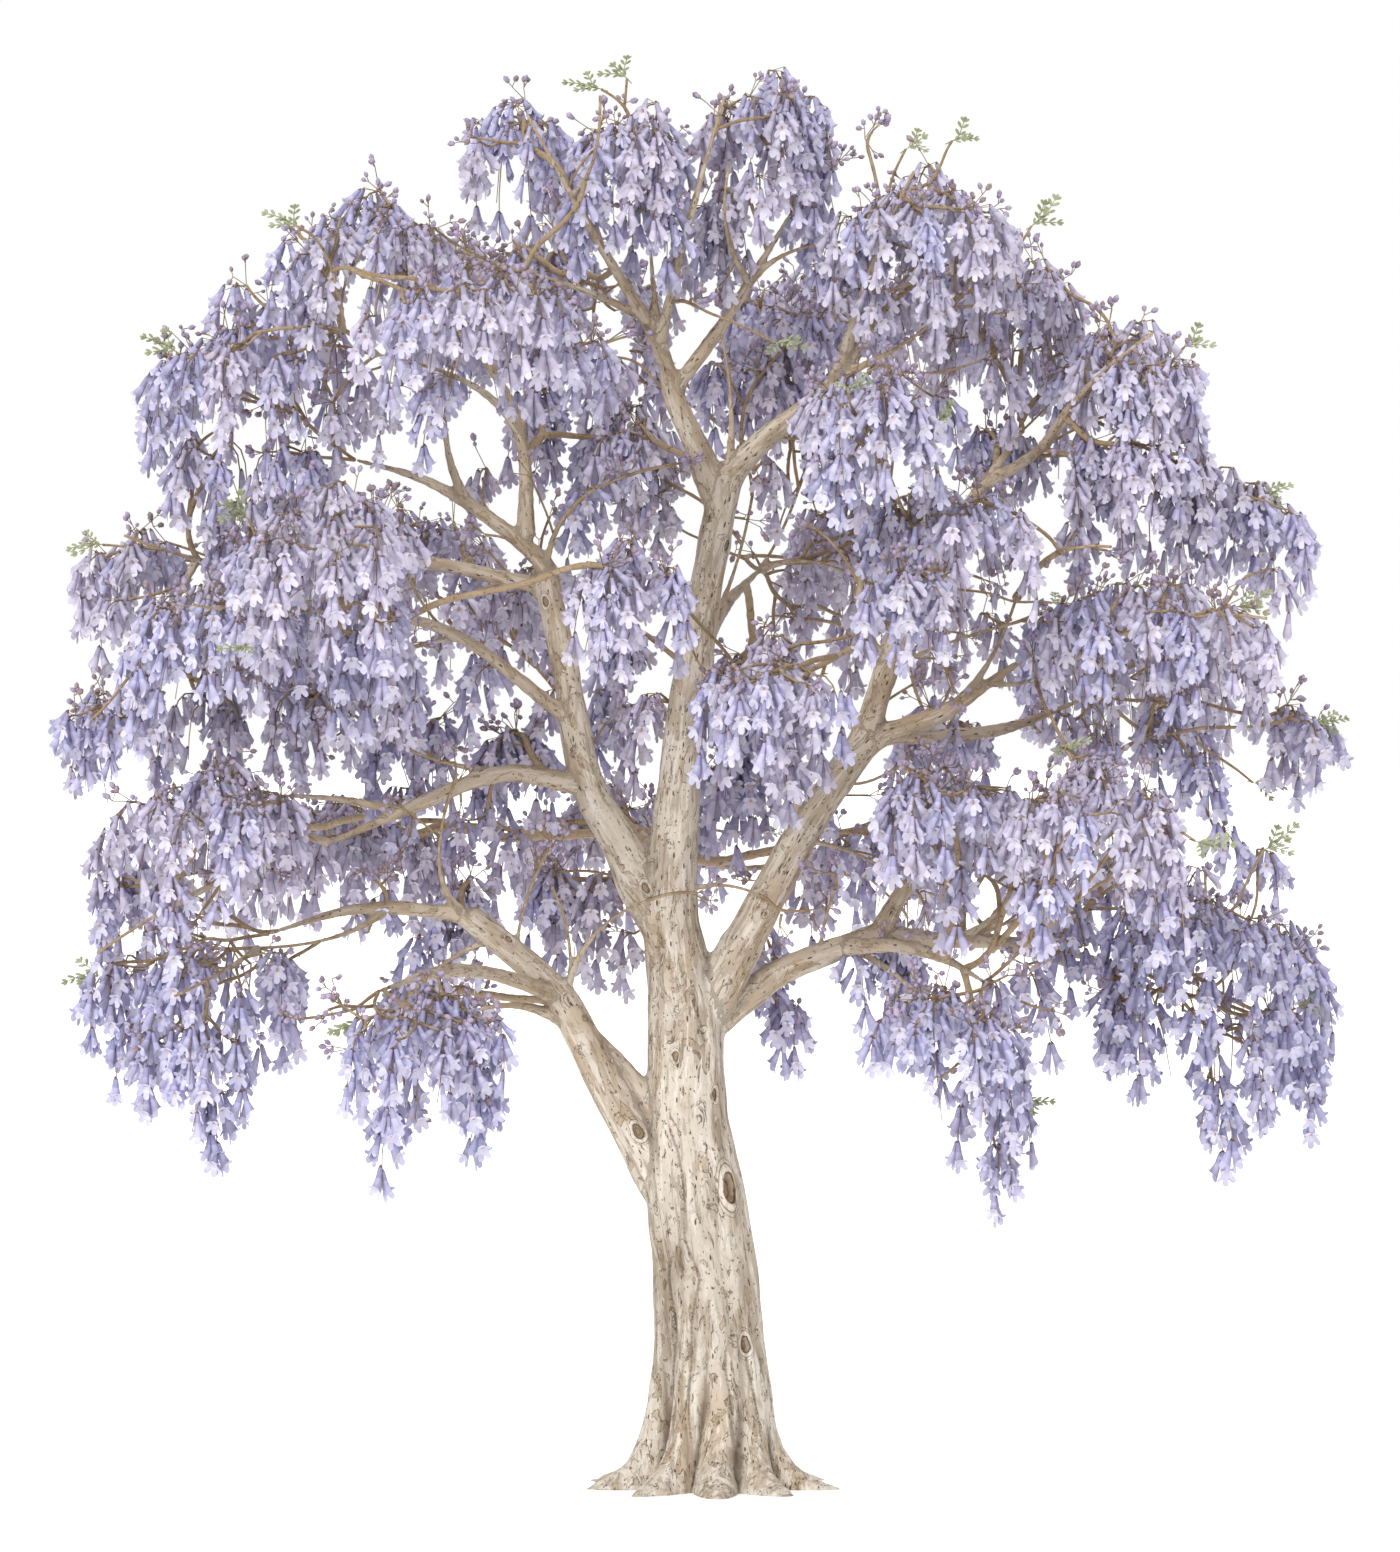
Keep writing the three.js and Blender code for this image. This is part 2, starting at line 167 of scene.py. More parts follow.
def new_piece(name, corners, faces, materials, slots=None, smooth=None):
    """An object from arrays: corners, faces with equal corner counts, and for each face the
    number of its material and whether it is shaded smooth."""
    mesh = bpy.data.meshes.new(name)
    corners = np.asarray(corners, dtype=np.float32)
    faces = np.asarray(faces, dtype=np.int32)
    mesh.vertices.add(len(corners))
    mesh.vertices.foreach_set("co", corners.ravel())
    mesh.loops.add(faces.size)
    mesh.loops.foreach_set("vertex_index", faces.ravel())
    mesh.polygons.add(len(faces))
    mesh.polygons.foreach_set("loop_start", np.arange(len(faces), dtype=np.int32) * faces.shape[1])
    for material in materials:
        mesh.materials.append(material)
    if slots is not None:
        mesh.polygons.foreach_set("material_index", np.asarray(slots, dtype=np.int32))
    smooth = np.ones(len(faces), dtype=bool) if smooth is None else smooth
    mesh.polygons.foreach_set("use_smooth", smooth)
    mesh.update(calc_edges=True)
    made = bpy.data.objects.new(name, mesh)
    bpy.context.scene.collection.objects.link(made)
    return made


world = bpy.data.worlds.new("surround")
bpy.context.scene.world = world
world.use_nodes = True
surround = world.node_tree
surround.nodes.clear()
backdrop_seen = add_node(surround, "ShaderNodeLightPath", output="Is Camera Ray")
sky_way = add_node(surround, "ShaderNodeTexCoord", output="Generated")
sideways = add_node(surround, "ShaderNodeSeparateXYZ", {}, {"Vector": sky_way}, "X")
sky_light = SURROUND_LIGHT * (1 - SIDE_SHADE * (sideways * sideways))
surround_shader = add_node(surround, "ShaderNodeBackground", {}, {
    "Color": paint(*WHITE), "Strength": sky_light + backdrop_seen * (1 - sky_light)})
surround_end = surround.nodes.new("ShaderNodeOutputWorld")
surround.links.new(surround_shader.output, surround_end.inputs["Surface"])

for name, (power, softness, stand) in LAMPS.items():
    lamp = bpy.data.objects.new(name, bpy.data.lights.new(name, "SUN"))
    lamp.data.energy = power
    lamp.data.angle = softness
    lamp.rotation_euler = stand.to_track_quat("Z", "Y").to_euler()
    bpy.context.scene.collection.objects.link(lamp)

bpy.context.scene.view_settings.view_transform = "Standard"
bpy.context.scene.view_settings.look = "None"

floor_material, floor_tree, floor_shader = new_material("floor", 0.9, 0.1)
floor_shader.inputs["Emission Strength"].default_value = FLOOR_GLOW
floor_shader.inputs["Emission Color"].default_value = paint(*WHITE)
mottle = add_node(floor_tree, "ShaderNodeTexNoise", {}, {"Scale": 0.6, "Detail": 2.0})
floor_shades = [paint(*shade) for shade in FLOOR_SHADES]
feed(floor_shader, "Base Color", blend(floor_tree, mottle, *floor_shades))
floor_corners = [(right * FLOOR_HALF, back * FLOOR_HALF, 0.0)
                 for right, back in ((-1, -1), (1, -1), (1, 1), (-1, 1))]
floor = new_piece("floor", floor_corners, [(0, 1, 2, 3)], [floor_material])


# ---- Trunk and boughs -----------------------------------------------------------------
# The trunk and the main boughs are one skin of smooth pale bark: a fluted, leaning trunk with
# toed roots, and boughs that swell into collars where they leave it. Their lines and girths
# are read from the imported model, swept as tubes, melted together and then carved.

LIMBS = [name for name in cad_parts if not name.startswith("blossom_")]

SKIN_GRAIN = 0.0125  # the grid on which the limbs melt together
SKIN_FACES = 170_000
THINNEST_LIMB = 0.014
LINE_STEP = 0.06
TRUNK_STEP = 0.04
TRUNK_SIDES = 120
LIMB_SIDES = 24
TRUNK_GIRTH = 0.2  # limbs stouter than this carry the trunk's folds
FILLET_PASSES = 40

TRUNK_RINGS = 40  # how the lines are read from the solids
LOWEST_RING = 0.75
RING_SPACING = 0.15
RING_REACH = 0.30
END_MARGIN = 0.05
END_REACH = 0.60
ROOT_SEARCH = 1.0
ROOT_SEARCH_STEP = 0.04
FORK_REACH = 0.45
TAPER_LENGTH = 0.8
TIP_SHARE = 0.36

ROOT_TOES = 9
FIRST_TOE = 0.175
TOE_SWAY = 0.08
ROOT_REACH = 0.45
WAIST_HEIGHT = 2.70
WAIST_RISE = 0.42
WAIST_SHARE = 0.07

# Knots on the front: right, height, half width, half height, how deep.
FRONT_KNOTS = [
    (0.11, 2.10, 0.062, 0.122, 1.0), (0.225, 1.02, 0.042, 0.070, 0.9),
    (-0.26, 3.03, 0.032, 0.055, 0.7), (0.01, 2.76, 0.032, 0.058, 0.8),
    (-0.52, 2.50, 0.040, 0.070, 0.9), (-0.47, 4.20, 0.036, 0.060, 0.7),
    (-1.17, 6.20, 0.026, 0.050, 0.8), (0.37, 4.02, 0.030, 0.045, 0.4),
]
OTHER_KNOTS = 10
KNOT_REACH = 3.5
NO_RING = 99.0

# Long folds down the front of the trunk: right and height of points from the top of each down.
FOLDS = [
    [(-0.48, 2.85), (-0.34, 2.65), (-0.24, 2.37), (-0.21, 2.05), (-0.19, 1.74), (-0.10, 1.50),
     (-0.14, 1.19), (-0.17, 0.76), (-0.14, 0.10)],
    [(0.10, 1.30), (0.09, 0.95), (0.13, 0.60), (0.175, 0.12)],
    [(0.24, 1.45), (0.21, 1.10), (0.27, 0.70), (0.38, 0.25)],
    [(-0.26, 1.95), (-0.31, 1.50), (-0.27, 1.00), (-0.28, 0.60), (-0.31, 0.15)],
    [(-0.08, 3.72), (-0.12, 3.45), (-0.06, 3.20), (-0.03, 2.85)],
]
FOLD_DEPTH = 0.014
FOLD_WIDTH = 0.024
FOLD_STEP = 0.02
FAR_FROM_ANY = 9.0
IN_FRONT = 9.0
BACKWARDS = Vector((0.0, 1.0, 0.0))

# Side branches between the masses, each one bow out of a limb: right and height of its foot, of
# its bend and of its tip, and its radius.
SIDE_BRANCHES = [
    ((-1.72, 6.95), (-1.98, 7.35), (-1.80, 7.88), 0.036),
    ((-1.40, 7.25), (-1.52, 7.80), (-2.35, 7.92), 0.036),
    ((-1.38, 7.35), (-1.34, 7.75), (-0.95, 7.88), 0.028),
    ((-1.12, 6.35), (-1.14, 6.95), (-0.58, 7.08), 0.026),
    ((-1.68, 5.88), (-1.95, 5.98), (-2.12, 6.40), 0.026),
    ((-1.80, 5.92), (-2.15, 5.92), (-2.50, 5.68), 0.024),
    ((-2.35, 4.66), (-2.75, 4.90), (-3.30, 4.83), 0.034),
    ((-2.50, 4.60), (-3.05, 4.72), (-3.38, 4.28), 0.030),
    ((-1.35, 5.02), (-2.00, 5.02), (-2.40, 5.34), 0.026),
    ((-1.62, 3.96), (-2.00, 4.20), (-1.86, 4.74), 0.036),
    ((-1.02, 3.45), (-0.95, 3.95), (-0.46, 4.12), 0.032),
    ((-0.98, 3.60), (-0.98, 3.95), (-1.12, 4.22), 0.020),
    ((-1.35, 3.75), (-1.34, 4.10), (-1.20, 4.36), 0.022),
    ((-0.98, 3.08), (-1.32, 3.62), (-1.96, 3.20), 0.042),
    ((-2.25, 4.06), (-2.55, 3.80), (-3.15, 3.80), 0.028),
    ((-1.45, 3.80), (-1.90, 3.78), (-2.25, 3.28), 0.024),
    ((0.10, 7.10), (0.18, 7.50), (0.06, 8.06), 0.032),
    ((0.78, 7.66), (1.02, 8.15), (1.16, 8.78), 0.042),
    ((0.86, 7.74), (1.20, 7.86), (1.66, 8.24), 0.032),
    ((0.26, 8.40), (0.48, 8.72), (0.98, 8.70), 0.028),
    ((1.20, 5.70), (0.82, 6.25), (1.24, 6.90), 0.044),
    ((0.28, 6.40), (0.60, 6.58), (1.02, 6.40), 0.034),
    ((0.04, 6.05), (0.20, 6.45), (0.28, 6.95), 0.024),
    ((0.34, 6.44), (0.52, 6.70), (0.62, 7.02), 0.020),
    ((1.90, 6.98), (2.35, 7.20), (2.74, 7.80), 0.044),
    ((2.06, 7.20), (2.35, 7.34), (2.70, 7.48), 0.030),
    ((1.60, 5.46), (1.95, 5.70), (2.10, 6.22), 0.036),
    ((1.28, 5.70), (1.55, 5.90), (1.96, 6.02), 0.026),
    ((1.88, 5.60), (2.15, 5.56), (2.44, 5.78), 0.030),
    ((2.36, 4.92), (2.40, 5.10), (2.52, 5.34), 0.020),
    ((1.66, 3.82), (2.08, 3.92), (2.18, 4.40), 0.032),
    ((1.90, 3.82), (2.15, 4.04), (2.42, 3.98), 0.022),
    ((0.58, 4.46), (0.90, 4.52), (1.24, 4.32), 0.030),
    ((0.60, 4.60), (0.60, 4.90), (0.48, 5.18), 0.044),
    ((0.85, 4.90), (1.06, 4.88), (1.26, 5.04), 0.024),
    ((0.76, 3.74), (0.76, 3.95), (0.86, 4.20), 0.024),
    ((1.00, 3.82), (1.35, 3.62), (1.78, 3.06), 0.030),
    ((-0.28, 4.10), (0.00, 4.32), (0.36, 4.14), 0.034),
    ((-0.31, 7.90), (-0.44, 8.30), (-0.44, 8.92), 0.036),
    ((-0.48, 8.12), (-0.85, 8.40), (-1.48, 8.54), 0.036),
    ((1.14, 3.86), (1.42, 4.50), (2.10, 4.66), 0.066),
    ((1.98, 4.60), (2.40, 4.82), (2.86, 5.18), 0.044),
]

# Branches that come forward through the blossom, given in the same way.
FORWARD_BRANCHES = [
    ((-0.50, 8.15), (-0.85, 8.75), (-1.28, 9.55), 0.042),
    ((-0.36, 8.00), (-0.20, 8.75), (0.08, 9.68), 0.038),
    ((0.25, 8.38), (0.00, 8.72), (0.11, 9.20), 0.028),
    ((-0.92, 8.95), (-0.76, 9.15), (-0.77, 9.64), 0.022),
    ((0.86, 7.95), (1.10, 8.60), (1.38, 9.15), 0.038),
    ((2.30, 7.32), (2.52, 7.70), (3.03, 8.05), 0.036),
    ((2.00, 6.45), (2.30, 6.64), (2.72, 6.57), 0.028),
    ((2.70, 5.98), (3.20, 6.20), (3.78, 6.08), 0.028),
    ((-3.20, 6.44), (-3.60, 6.46), (-4.10, 6.66), 0.032),
    ((2.00, 3.72), (2.65, 3.64), (3.25, 3.44), 0.046),
    ((-3.55, 4.25), (-3.85, 4.05), (-4.20, 3.80), 0.028),
    ((-3.80, 5.66), (-4.05, 5.58), (-4.30, 5.38), 0.026),
    ((-3.15, 3.82), (-3.40, 3.62), (-3.68, 3.50), 0.024),
    ((-2.30, 8.25), (-2.55, 8.16), (-2.88, 8.08), 0.024),
    ((-2.35, 8.50), (-2.58, 8.70), (-2.85, 8.76), 0.024),
]
FORWARD_REACH = 0.80
FORWARD_EARLY = 0.75

# The ridge of wood that carries the lowest bough down into the trunk, given in the same way.
BOUGH_RIDGE = ((-0.20, 2.10), (-0.42, 2.72), (-0.86, 3.22), 0.165)
RIDGE_REACH = 0.06

rng = np.random.default_rng(7)


def unit(vectors):
    """Vectors made one metre long."""
    return vectors / np.maximum(np.linalg.norm(vectors, axis=-1, keepdims=True), 1e-9)


def lumps(points, size, seed, waves=22):
    """A smooth uneven field, mostly from -1 to 1, with lumps of about the given size."""
    draw = np.random.default_rng(seed)
    ways = unit(draw.normal(size=(waves, 3))) * draw.uniform(0.6, 1.5, (waves, 1)) * math.pi / size
    total = np.zeros(len(points))
    for way, phase in zip(ways, draw.uniform(0, 2 * math.pi, waves)):
        total += np.sin(points @ way + phase)
    return total * math.sqrt(0.5 / waves) * 1.2


def welded(name):
    """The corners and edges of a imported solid, each corner once."""
    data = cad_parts[name].data
    points = np.array([v.co[:] for v in data.vertices])
    _, first, index = np.unique(np.round(points, 5), axis=0, return_index=True, return_inverse=True)
    index = index.ravel()
    edges = {tuple(sorted((index[a], index[b]))) for a, b in (e.vertices for e in data.edges)}
    return points[first], np.array([edge for edge in edges if edge[0] != edge[1]])


def cut_points(points, edges, level):
    """Where the edges cross the zero level of a field that is known at the corners."""
    low, high = level[edges[:, 0]], level[edges[:, 1]]
    crossing = (low < 0) != (high < 0)
    share = (low[crossing] / (low[crossing] - high[crossing]))[:, None]
    ends = edges[crossing]
    return points[ends[:, 0]] * (1 - share) + points[ends[:, 1]] * share


def walk(points, edges, start):
    """The way along the edges from one corner to every other."""
    lengths = np.linalg.norm(points[edges[:, 0]] - points[edges[:, 1]], axis=1)
    near = {i: [] for i in range(len(points))}
    for (a, b), length in zip(edges, lengths):
        near[a].append((b, length))
        near[b].append((a, length))
    reach = np.full(len(points), np.inf)
    reach[start] = 0.0
    queue = [(0.0, start)]
    while queue:
        done, i = heapq.heappop(queue)
        if done > reach[i]:
            continue
        for j, length in near[i]:
            if done + length < reach[j]:
                reach[j] = done + length
                heapq.heappush(queue, (reach[j], j))
    return reach


def lengths_along(points):
    """How far along a line each of its points is."""
    return np.concatenate([[0.0], np.cumsum(np.linalg.norm(np.diff(points, axis=0), axis=1))])


def bough_line(name):
    """Centre points and radii along a bough, from its foot to its tip."""
    points, edges = welded(name)
    end = int(np.argmax(walk(points, edges, 0)))
    reach = walk(points, edges, end)
    count = max(6, int(reach.max() / RING_SPACING))
    levels = np.linspace(END_MARGIN, reach.max() - END_MARGIN, count)
    centres = np.array([cut_points(points, edges, reach - level).mean(axis=0) for level in levels])
    for _ in range(2):
        centres[1:-1] = 0.5 * centres[1:-1] + 0.25 * (centres[:-2] + centres[2:])
    kept, girths, evenness = [], [], []
    for centre, heading in zip(centres, unit(np.gradient(centres, axis=0))):
        ring = cut_points(points, edges, (points - centre) @ heading)
        ring = ring[np.linalg.norm(ring - centre, axis=1) < RING_REACH]
        if len(ring) >= 8:
            spokes = np.linalg.norm(ring - ring.mean(axis=0), axis=1)
            kept.append(ring.mean(axis=0))
            girths.append(spokes.mean())
            evenness.append(spokes.std() / spokes.mean())
    kept, girths = np.array(kept), np.array(girths)
    along = lengths_along(kept)
    whole = (girths > 0.86 * np.median(girths)) & (np.array(evenness) < 0.10)
    slope, first = np.polyfit(along[whole], girths[whole], 1)
    centres = kept[whole]
    radii = 1.03 * (first + slope * along[whole])
    ends = []
    for last, inner in ((centres[0], centres[1]), (centres[-1], centres[-2])):
        heading = unit(last - inner)
        beyond = (points - last) @ heading
        close = np.linalg.norm(points - last, axis=1) < END_REACH
        ends.append(last + heading * beyond[close].max())
    centres = np.vstack([ends[0], centres, ends[1]])
    radii = np.concatenate([radii[:1], radii, radii[-1:]])
    if slope > 0:
        return centres[::-1], radii[::-1]
    return centres, radii


def trunk_line():
    """Centre points and radii up the trunk."""
    points, edges = welded("trunk")
    heights = np.linspace(LOWEST_RING, points[:, 2].max() - END_MARGIN, TRUNK_RINGS)
    rings = [cut_points(points, edges, points[:, 2] - height) for height in heights]
    centres = np.array([[*ring[:, :2].mean(axis=0), height]
                        for ring, height in zip(rings, heights)])
    radii = np.array([np.linalg.norm((ring - centre)[:, :2], axis=1).mean()
                      for ring, centre in zip(rings, centres)])
    foot = np.array([[centres[0, 0], centres[0, 1], height] for height in (-0.05, 0.3)])
    return np.vstack([foot, centres]), np.concatenate([[radii[0] * 1.05, radii[0] * 1.02], radii])


def resampled(centres, values, step):
    """A smooth line with a point every step, the values along it and the places."""
    along = lengths_along(centres)
    places = np.linspace(0.0, along[-1], max(3, int(along[-1] / step) + 1))
    points = np.column_stack([np.interp(places, along, centres[:, k]) for k in range(3)])
    for _ in range(3):
        points[1:-1] = 0.5 * points[1:-1] + 0.25 * (points[:-2] + points[2:])
    return points, np.interp(places, along, values), places


def frames_along(points):
    """At each point of a line its heading and two directions across it that don't twist."""
    headings = unit(np.gradient(points, axis=0))
    side = np.cross(headings[0], (0.0, 1.0, 0.0) if abs(headings[0][1]) < 0.9 else (1.0, 0.0, 0.0))
    sides = []
    for heading in headings:
        side = unit(side - heading * side.dot(heading))
        sides.append(side)
    sides = np.array(sides)
    return headings, sides, np.cross(headings, sides)


def tube(points, radii, sides, section=None):
    """Rings round a line, closed at both ends: corners and three-cornered faces.

    section(angles, k) gives the radii of ring k, where it isn't round."""
    _, across, over = frames_along(points)
    angles = np.linspace(0.0, 2 * math.pi, sides, endpoint=False)
    rings = []
    for k, centre in enumerate(points):
        radius = np.full(sides, radii[k]) if section is None else section(angles, k)
        rings.append(centre + radius[:, None] * (np.cos(angles)[:, None] * across[k]
                                                 + np.sin(angles)[:, None] * over[k]))
    i = np.arange(sides)
    j = (i + 1) % sides
    faces = []
    for k in range(len(points) - 1):
        a, b = k * sides, (k + 1) * sides
        faces += [np.column_stack([a + i, a + j, b + j]), np.column_stack([a + i, b + j, b + i])]
    low = len(points) * sides
    last = low - sides
    faces.append(np.column_stack([np.full(sides, low), j, i]))
    faces.append(np.column_stack([np.full(sides, low + 1), last + i, last + j]))
    return np.vstack([*rings, points[:1], points[-1:]]), np.vstack(faces)


def joined(parts):
    """Several (corners, faces) as one."""
    starts = np.cumsum([0] + [len(corners) for corners, _ in parts[:-1]])
    return (np.vstack([corners for corners, _ in parts]),
            np.vstack([faces + start for (_, faces), start in zip(parts, starts)]))


lines = {name: trunk_line() if name == "trunk" else bough_line(name) for name in LIMBS}


def rooted(name):
    """A bough's line carried back into the limb that bears it, its radii and how deep it goes."""
    centres, radii = lines[name]
    back = unit(centres[1] - centres[3])
    least = np.inf
    for other, (others, girths) in lines.items():
        if other == name or girths[0] < radii[0] * 0.95:
            continue
        for depth in np.arange(0.0, ROOT_SEARCH, ROOT_SEARCH_STEP):
            away = np.linalg.norm(others - centres[1] - back * depth, axis=1)
            cost = away - 0.6 * girths + 0.2 * depth
            k = int(np.argmin(cost))
            if cost[k] < least:
                least = cost[k]
                bearer, node, deep = other, k, depth
                inside = 0.3 * others[k] + 0.7 * (centres[1] + back * depth)
                deeper = 0.6 * others[max(k - 1, 0)] + 0.4 * inside
    others, girths = lines[bearer]
    aside = unit(inside - others[node])
    ridge = others[max(node - 3, 0)] + aside * 0.5 * girths[node]
    deep += np.linalg.norm(inside - deeper) + np.linalg.norm(deeper - ridge)
    line = np.vstack([ridge, deeper, inside, centres[1:]])
    return line, np.concatenate([0.75 * radii[:1], radii[:1], radii]), deep


def bowed(foot, bend, tip, girth, bearers, ahead=0.28, early=0.35):
    """A side branch out of the limb whose line is nearest to its foot as seen from the front:
    its points and radii. ahead: how far it comes forwards as it goes; early: how much of that
    it does in its first half."""
    start = bearers[np.linalg.norm(bearers[:, (0, 2)] - foot, axis=1).argmin()]
    middle = np.array([bend[0], start[1] - early * ahead, bend[1]])
    finish = np.array([tip[0], start[1] - ahead, tip[1]])
    share = np.linspace(0.0, 1.0, 12)[:, None]
    line = (1 - share) ** 2 * start + 2 * share * (1 - share) * middle + share ** 2 * finish
    return line, girth * (1.0 - 0.5 * share[:, 0])


def bearing_points():
    """The points of every limb and side branch so far."""
    return np.vstack([line for line, _ in lines.values()])


for number, branch in enumerate(SIDE_BRANCHES):
    lines[f"side_{number}"] = bowed(*branch, bearing_points())
for number, branch in enumerate(FORWARD_BRANCHES):
    lines[f"forward_{number}"] = bowed(*branch, bearing_points(), FORWARD_REACH, FORWARD_EARLY)
lines["bough_ridge"] = bowed(*BOUGH_RIDGE, lines["trunk"][0], RIDGE_REACH)

trunk_points, trunk_radii, _ = resampled(*lines["trunk"], TRUNK_STEP)
waist = WAIST_SHARE * np.exp(-((trunk_points[:, 2] - WAIST_HEIGHT) / WAIST_RISE) ** 2)
trunk_points[:, 0] -= 0.8 * waist * trunk_radii
trunk_radii = trunk_radii * (1 - waist)
toe_bearing = np.arange(ROOT_TOES) * 2 * math.pi / ROOT_TOES + FIRST_TOE
toe_bearing += rng.uniform(-TOE_SWAY, TOE_SWAY, ROOT_TOES)
toe_reach = ROOT_REACH * rng.uniform(0.85, 1.12, ROOT_TOES)
toe_phase = rng.uniform(0, 2 * math.pi, ROOT_TOES)
toe_rise = rng.uniform(0.5, 2.8, ROOT_TOES)


def trunk_section(angles, k):
    """The trunk's radius round its line: rounded folds with sharp grooves between them, which
    fade upwards, and a root toe at the foot of each fold."""
    height = max(trunk_points[k, 2], 0.0)
    sway = 0.20 * np.sin(1.5 * height + toe_phase) * min(height / 0.7, 1.0) + 0.05 * height
    turn = np.abs((angles[:, None] - toe_bearing - sway + math.pi) % (2 * math.pi) - math.pi)
    aside = np.minimum(turn.min(axis=1) * ROOT_TOES / (2 * math.pi) * 2, 1.0)
    groove = 1 - np.sqrt(1 - (0.97 * aside) ** 2)
    nearness = np.exp(-(turn / 0.35) ** 2) + 1e-6
    rise = (nearness * np.exp(-height / toe_rise)).sum(axis=1) / nearness.sum(axis=1)
    fold_depth = 0.34 * math.exp(-height / 0.45) + 0.24 * rise
    slow = 0.016 * np.cos(3 * angles + 1.7 * height) + 0.012 * np.cos(5 * angles - 0.9 * height)
    narrow = 0.17 + 0.15 * (1 - math.exp(-height / 0.45))
    ridge = (np.exp(-0.5 * (turn / narrow) ** 2) * toe_reach).max(axis=1)
    spread = 0.6 * math.exp(-height / 0.09) + 0.4 * math.exp(-height / 0.30)
    round_fold = trunk_radii[k] * (1.0 + slow + 0.25 * fold_depth - fold_depth * groove)
    return round_fold + ridge * spread + 0.03 * math.exp(-height / 0.3)


skin_parts = [tube(trunk_points, trunk_radii, TRUNK_SIDES, trunk_section)]
skeleton_parts = [("trunk", trunk_points, trunk_radii)]
for name in lines:
    if name == "trunk":
        continue
    centres, radii, depth = rooted(name) if name in LIMBS else (*lines[name], 0.0)
    points, radii, places = resampled(centres, radii, LINE_STEP)
    collar = np.exp(-np.maximum(places - 0.7 * depth, 0.0) / (2.0 * radii[0] + 0.03))
    left = places[-1] - places
    feet = [lines[other][0][0] for other in LIMBS if other != name]
    if name in LIMBS and any(np.linalg.norm(foot - points[-1]) < FORK_REACH for foot in feet):
        # Where a limb forks it keeps its girth up to a round end.
        cap = 0.9 * radii[-1]
        rounded = np.clip(1 - (1 - left / cap) ** 2, 0.05, 1.0)
        thin = np.sqrt(rounded * (left < cap) + (left >= cap))
    else:
        thin = TIP_SHARE + (1 - TIP_SHARE) * np.minimum(left / TAPER_LENGTH, 1.0)
    swollen = np.maximum(radii * (1 + 0.34 * collar) * thin, THINNEST_LIMB)
    skin_parts.append(tube(points, swollen, LIMB_SIDES))
    skeleton_parts.append((name, points, np.maximum(radii * thin, THINNEST_LIMB)))


def melted(made):
    """An object's mesh with its modifier applied; the object itself goes."""
    mesh = bpy.data.meshes.new_from_object(
        made.evaluated_get(bpy.context.evaluated_depsgraph_get()))
    bpy.data.objects.remove(made)
    return mesh


rough_skin = new_piece("rough_skin", *joined(skin_parts), [])
melt = rough_skin.modifiers.new("melt", "REMESH")
melt.mode = "VOXEL"
melt.voxel_size = SKIN_GRAIN
skin_mesh = melted(rough_skin)

skin = np.empty(len(skin_mesh.vertices) * 3, dtype=np.float32)
skin_mesh.vertices.foreach_get("co", skin)
skin = skin.reshape(-1, 3).astype(np.float64)
ends = np.empty(len(skin_mesh.edges) * 2, dtype=np.int32)
skin_mesh.edges.foreach_get("vertices", ends)
ends = ends.reshape(-1, 2)
ties = np.bincount(ends.ravel(), minlength=len(skin))[:, None]


def neighbours(values):
    """The mean of the values at the corners next to each corner."""
    first, second = ends.T
    total = np.column_stack([np.bincount(first, column[second], len(skin))
                             + np.bincount(second, column[first], len(skin))
                             for column in values.T])
    return total / ties


def normals_of(mesh, points):
    """Moves a mesh's corners to the points and gives the normals there."""
    mesh.vertices.foreach_set("co", points.astype(np.float32).ravel())
    mesh.update()
    found = np.empty(len(points) * 3, dtype=np.float32)
    mesh.vertices.foreach_get("normal", found)
    return found.reshape(-1, 3).astype(np.float64)


# Creases between limbs fill into fillets: a corner moves outwards far more than inwards, so
# limbs hardly thin.
outward = normals_of(skin_mesh, skin)
for step in range(FILLET_PASSES):
    pull = neighbours(skin) - skin
    out = (pull * outward).sum(axis=1, keepdims=True)
    skin += 0.5 * (pull - out * outward) + outward * np.where(out > 0, 0.7 * out, 0.05 * out)
    if step % 20 == 19:
        outward = normals_of(skin_mesh, skin)

# The nearest limb of every corner gives the grain: two distances across it and one along it.
limb_nodes = []
for name, points, radii in skeleton_parts:
    along = lengths_along(points) + 3.7 * len(limb_nodes)
    limb_nodes.append((points, radii, *frames_along(points), along))
limb_at, limb_girth, limb_way, limb_side, limb_over, limb_along = (
    np.concatenate(part) for part in zip(*limb_nodes))


def nearest_limb(points):
    """For each point the skeleton node whose bark is nearest to it."""
    found = np.empty(len(points), dtype=int)
    batch = 20_000
    for start in range(0, len(points), batch):
        part = points[start:start + batch]
        square = (part ** 2).sum(axis=1)[:, None] - 2 * part @ limb_at.T
        square += (limb_at ** 2).sum(axis=1)
        away = np.sqrt(np.maximum(square, 0))
        found[start:start + batch] = np.abs(away - limb_girth).argmin(axis=1)
    return found


near = nearest_limb(skin)
offset = skin - limb_at[near]
grain = np.column_stack([
    (offset * limb_side[near]).sum(axis=1), (offset * limb_over[near]).sum(axis=1),
    limb_along[near] + (offset * limb_way[near]).sum(axis=1)])
girth = limb_girth[near]
for _ in range(12):
    girth = neighbours(girth[:, None])[:, 0]

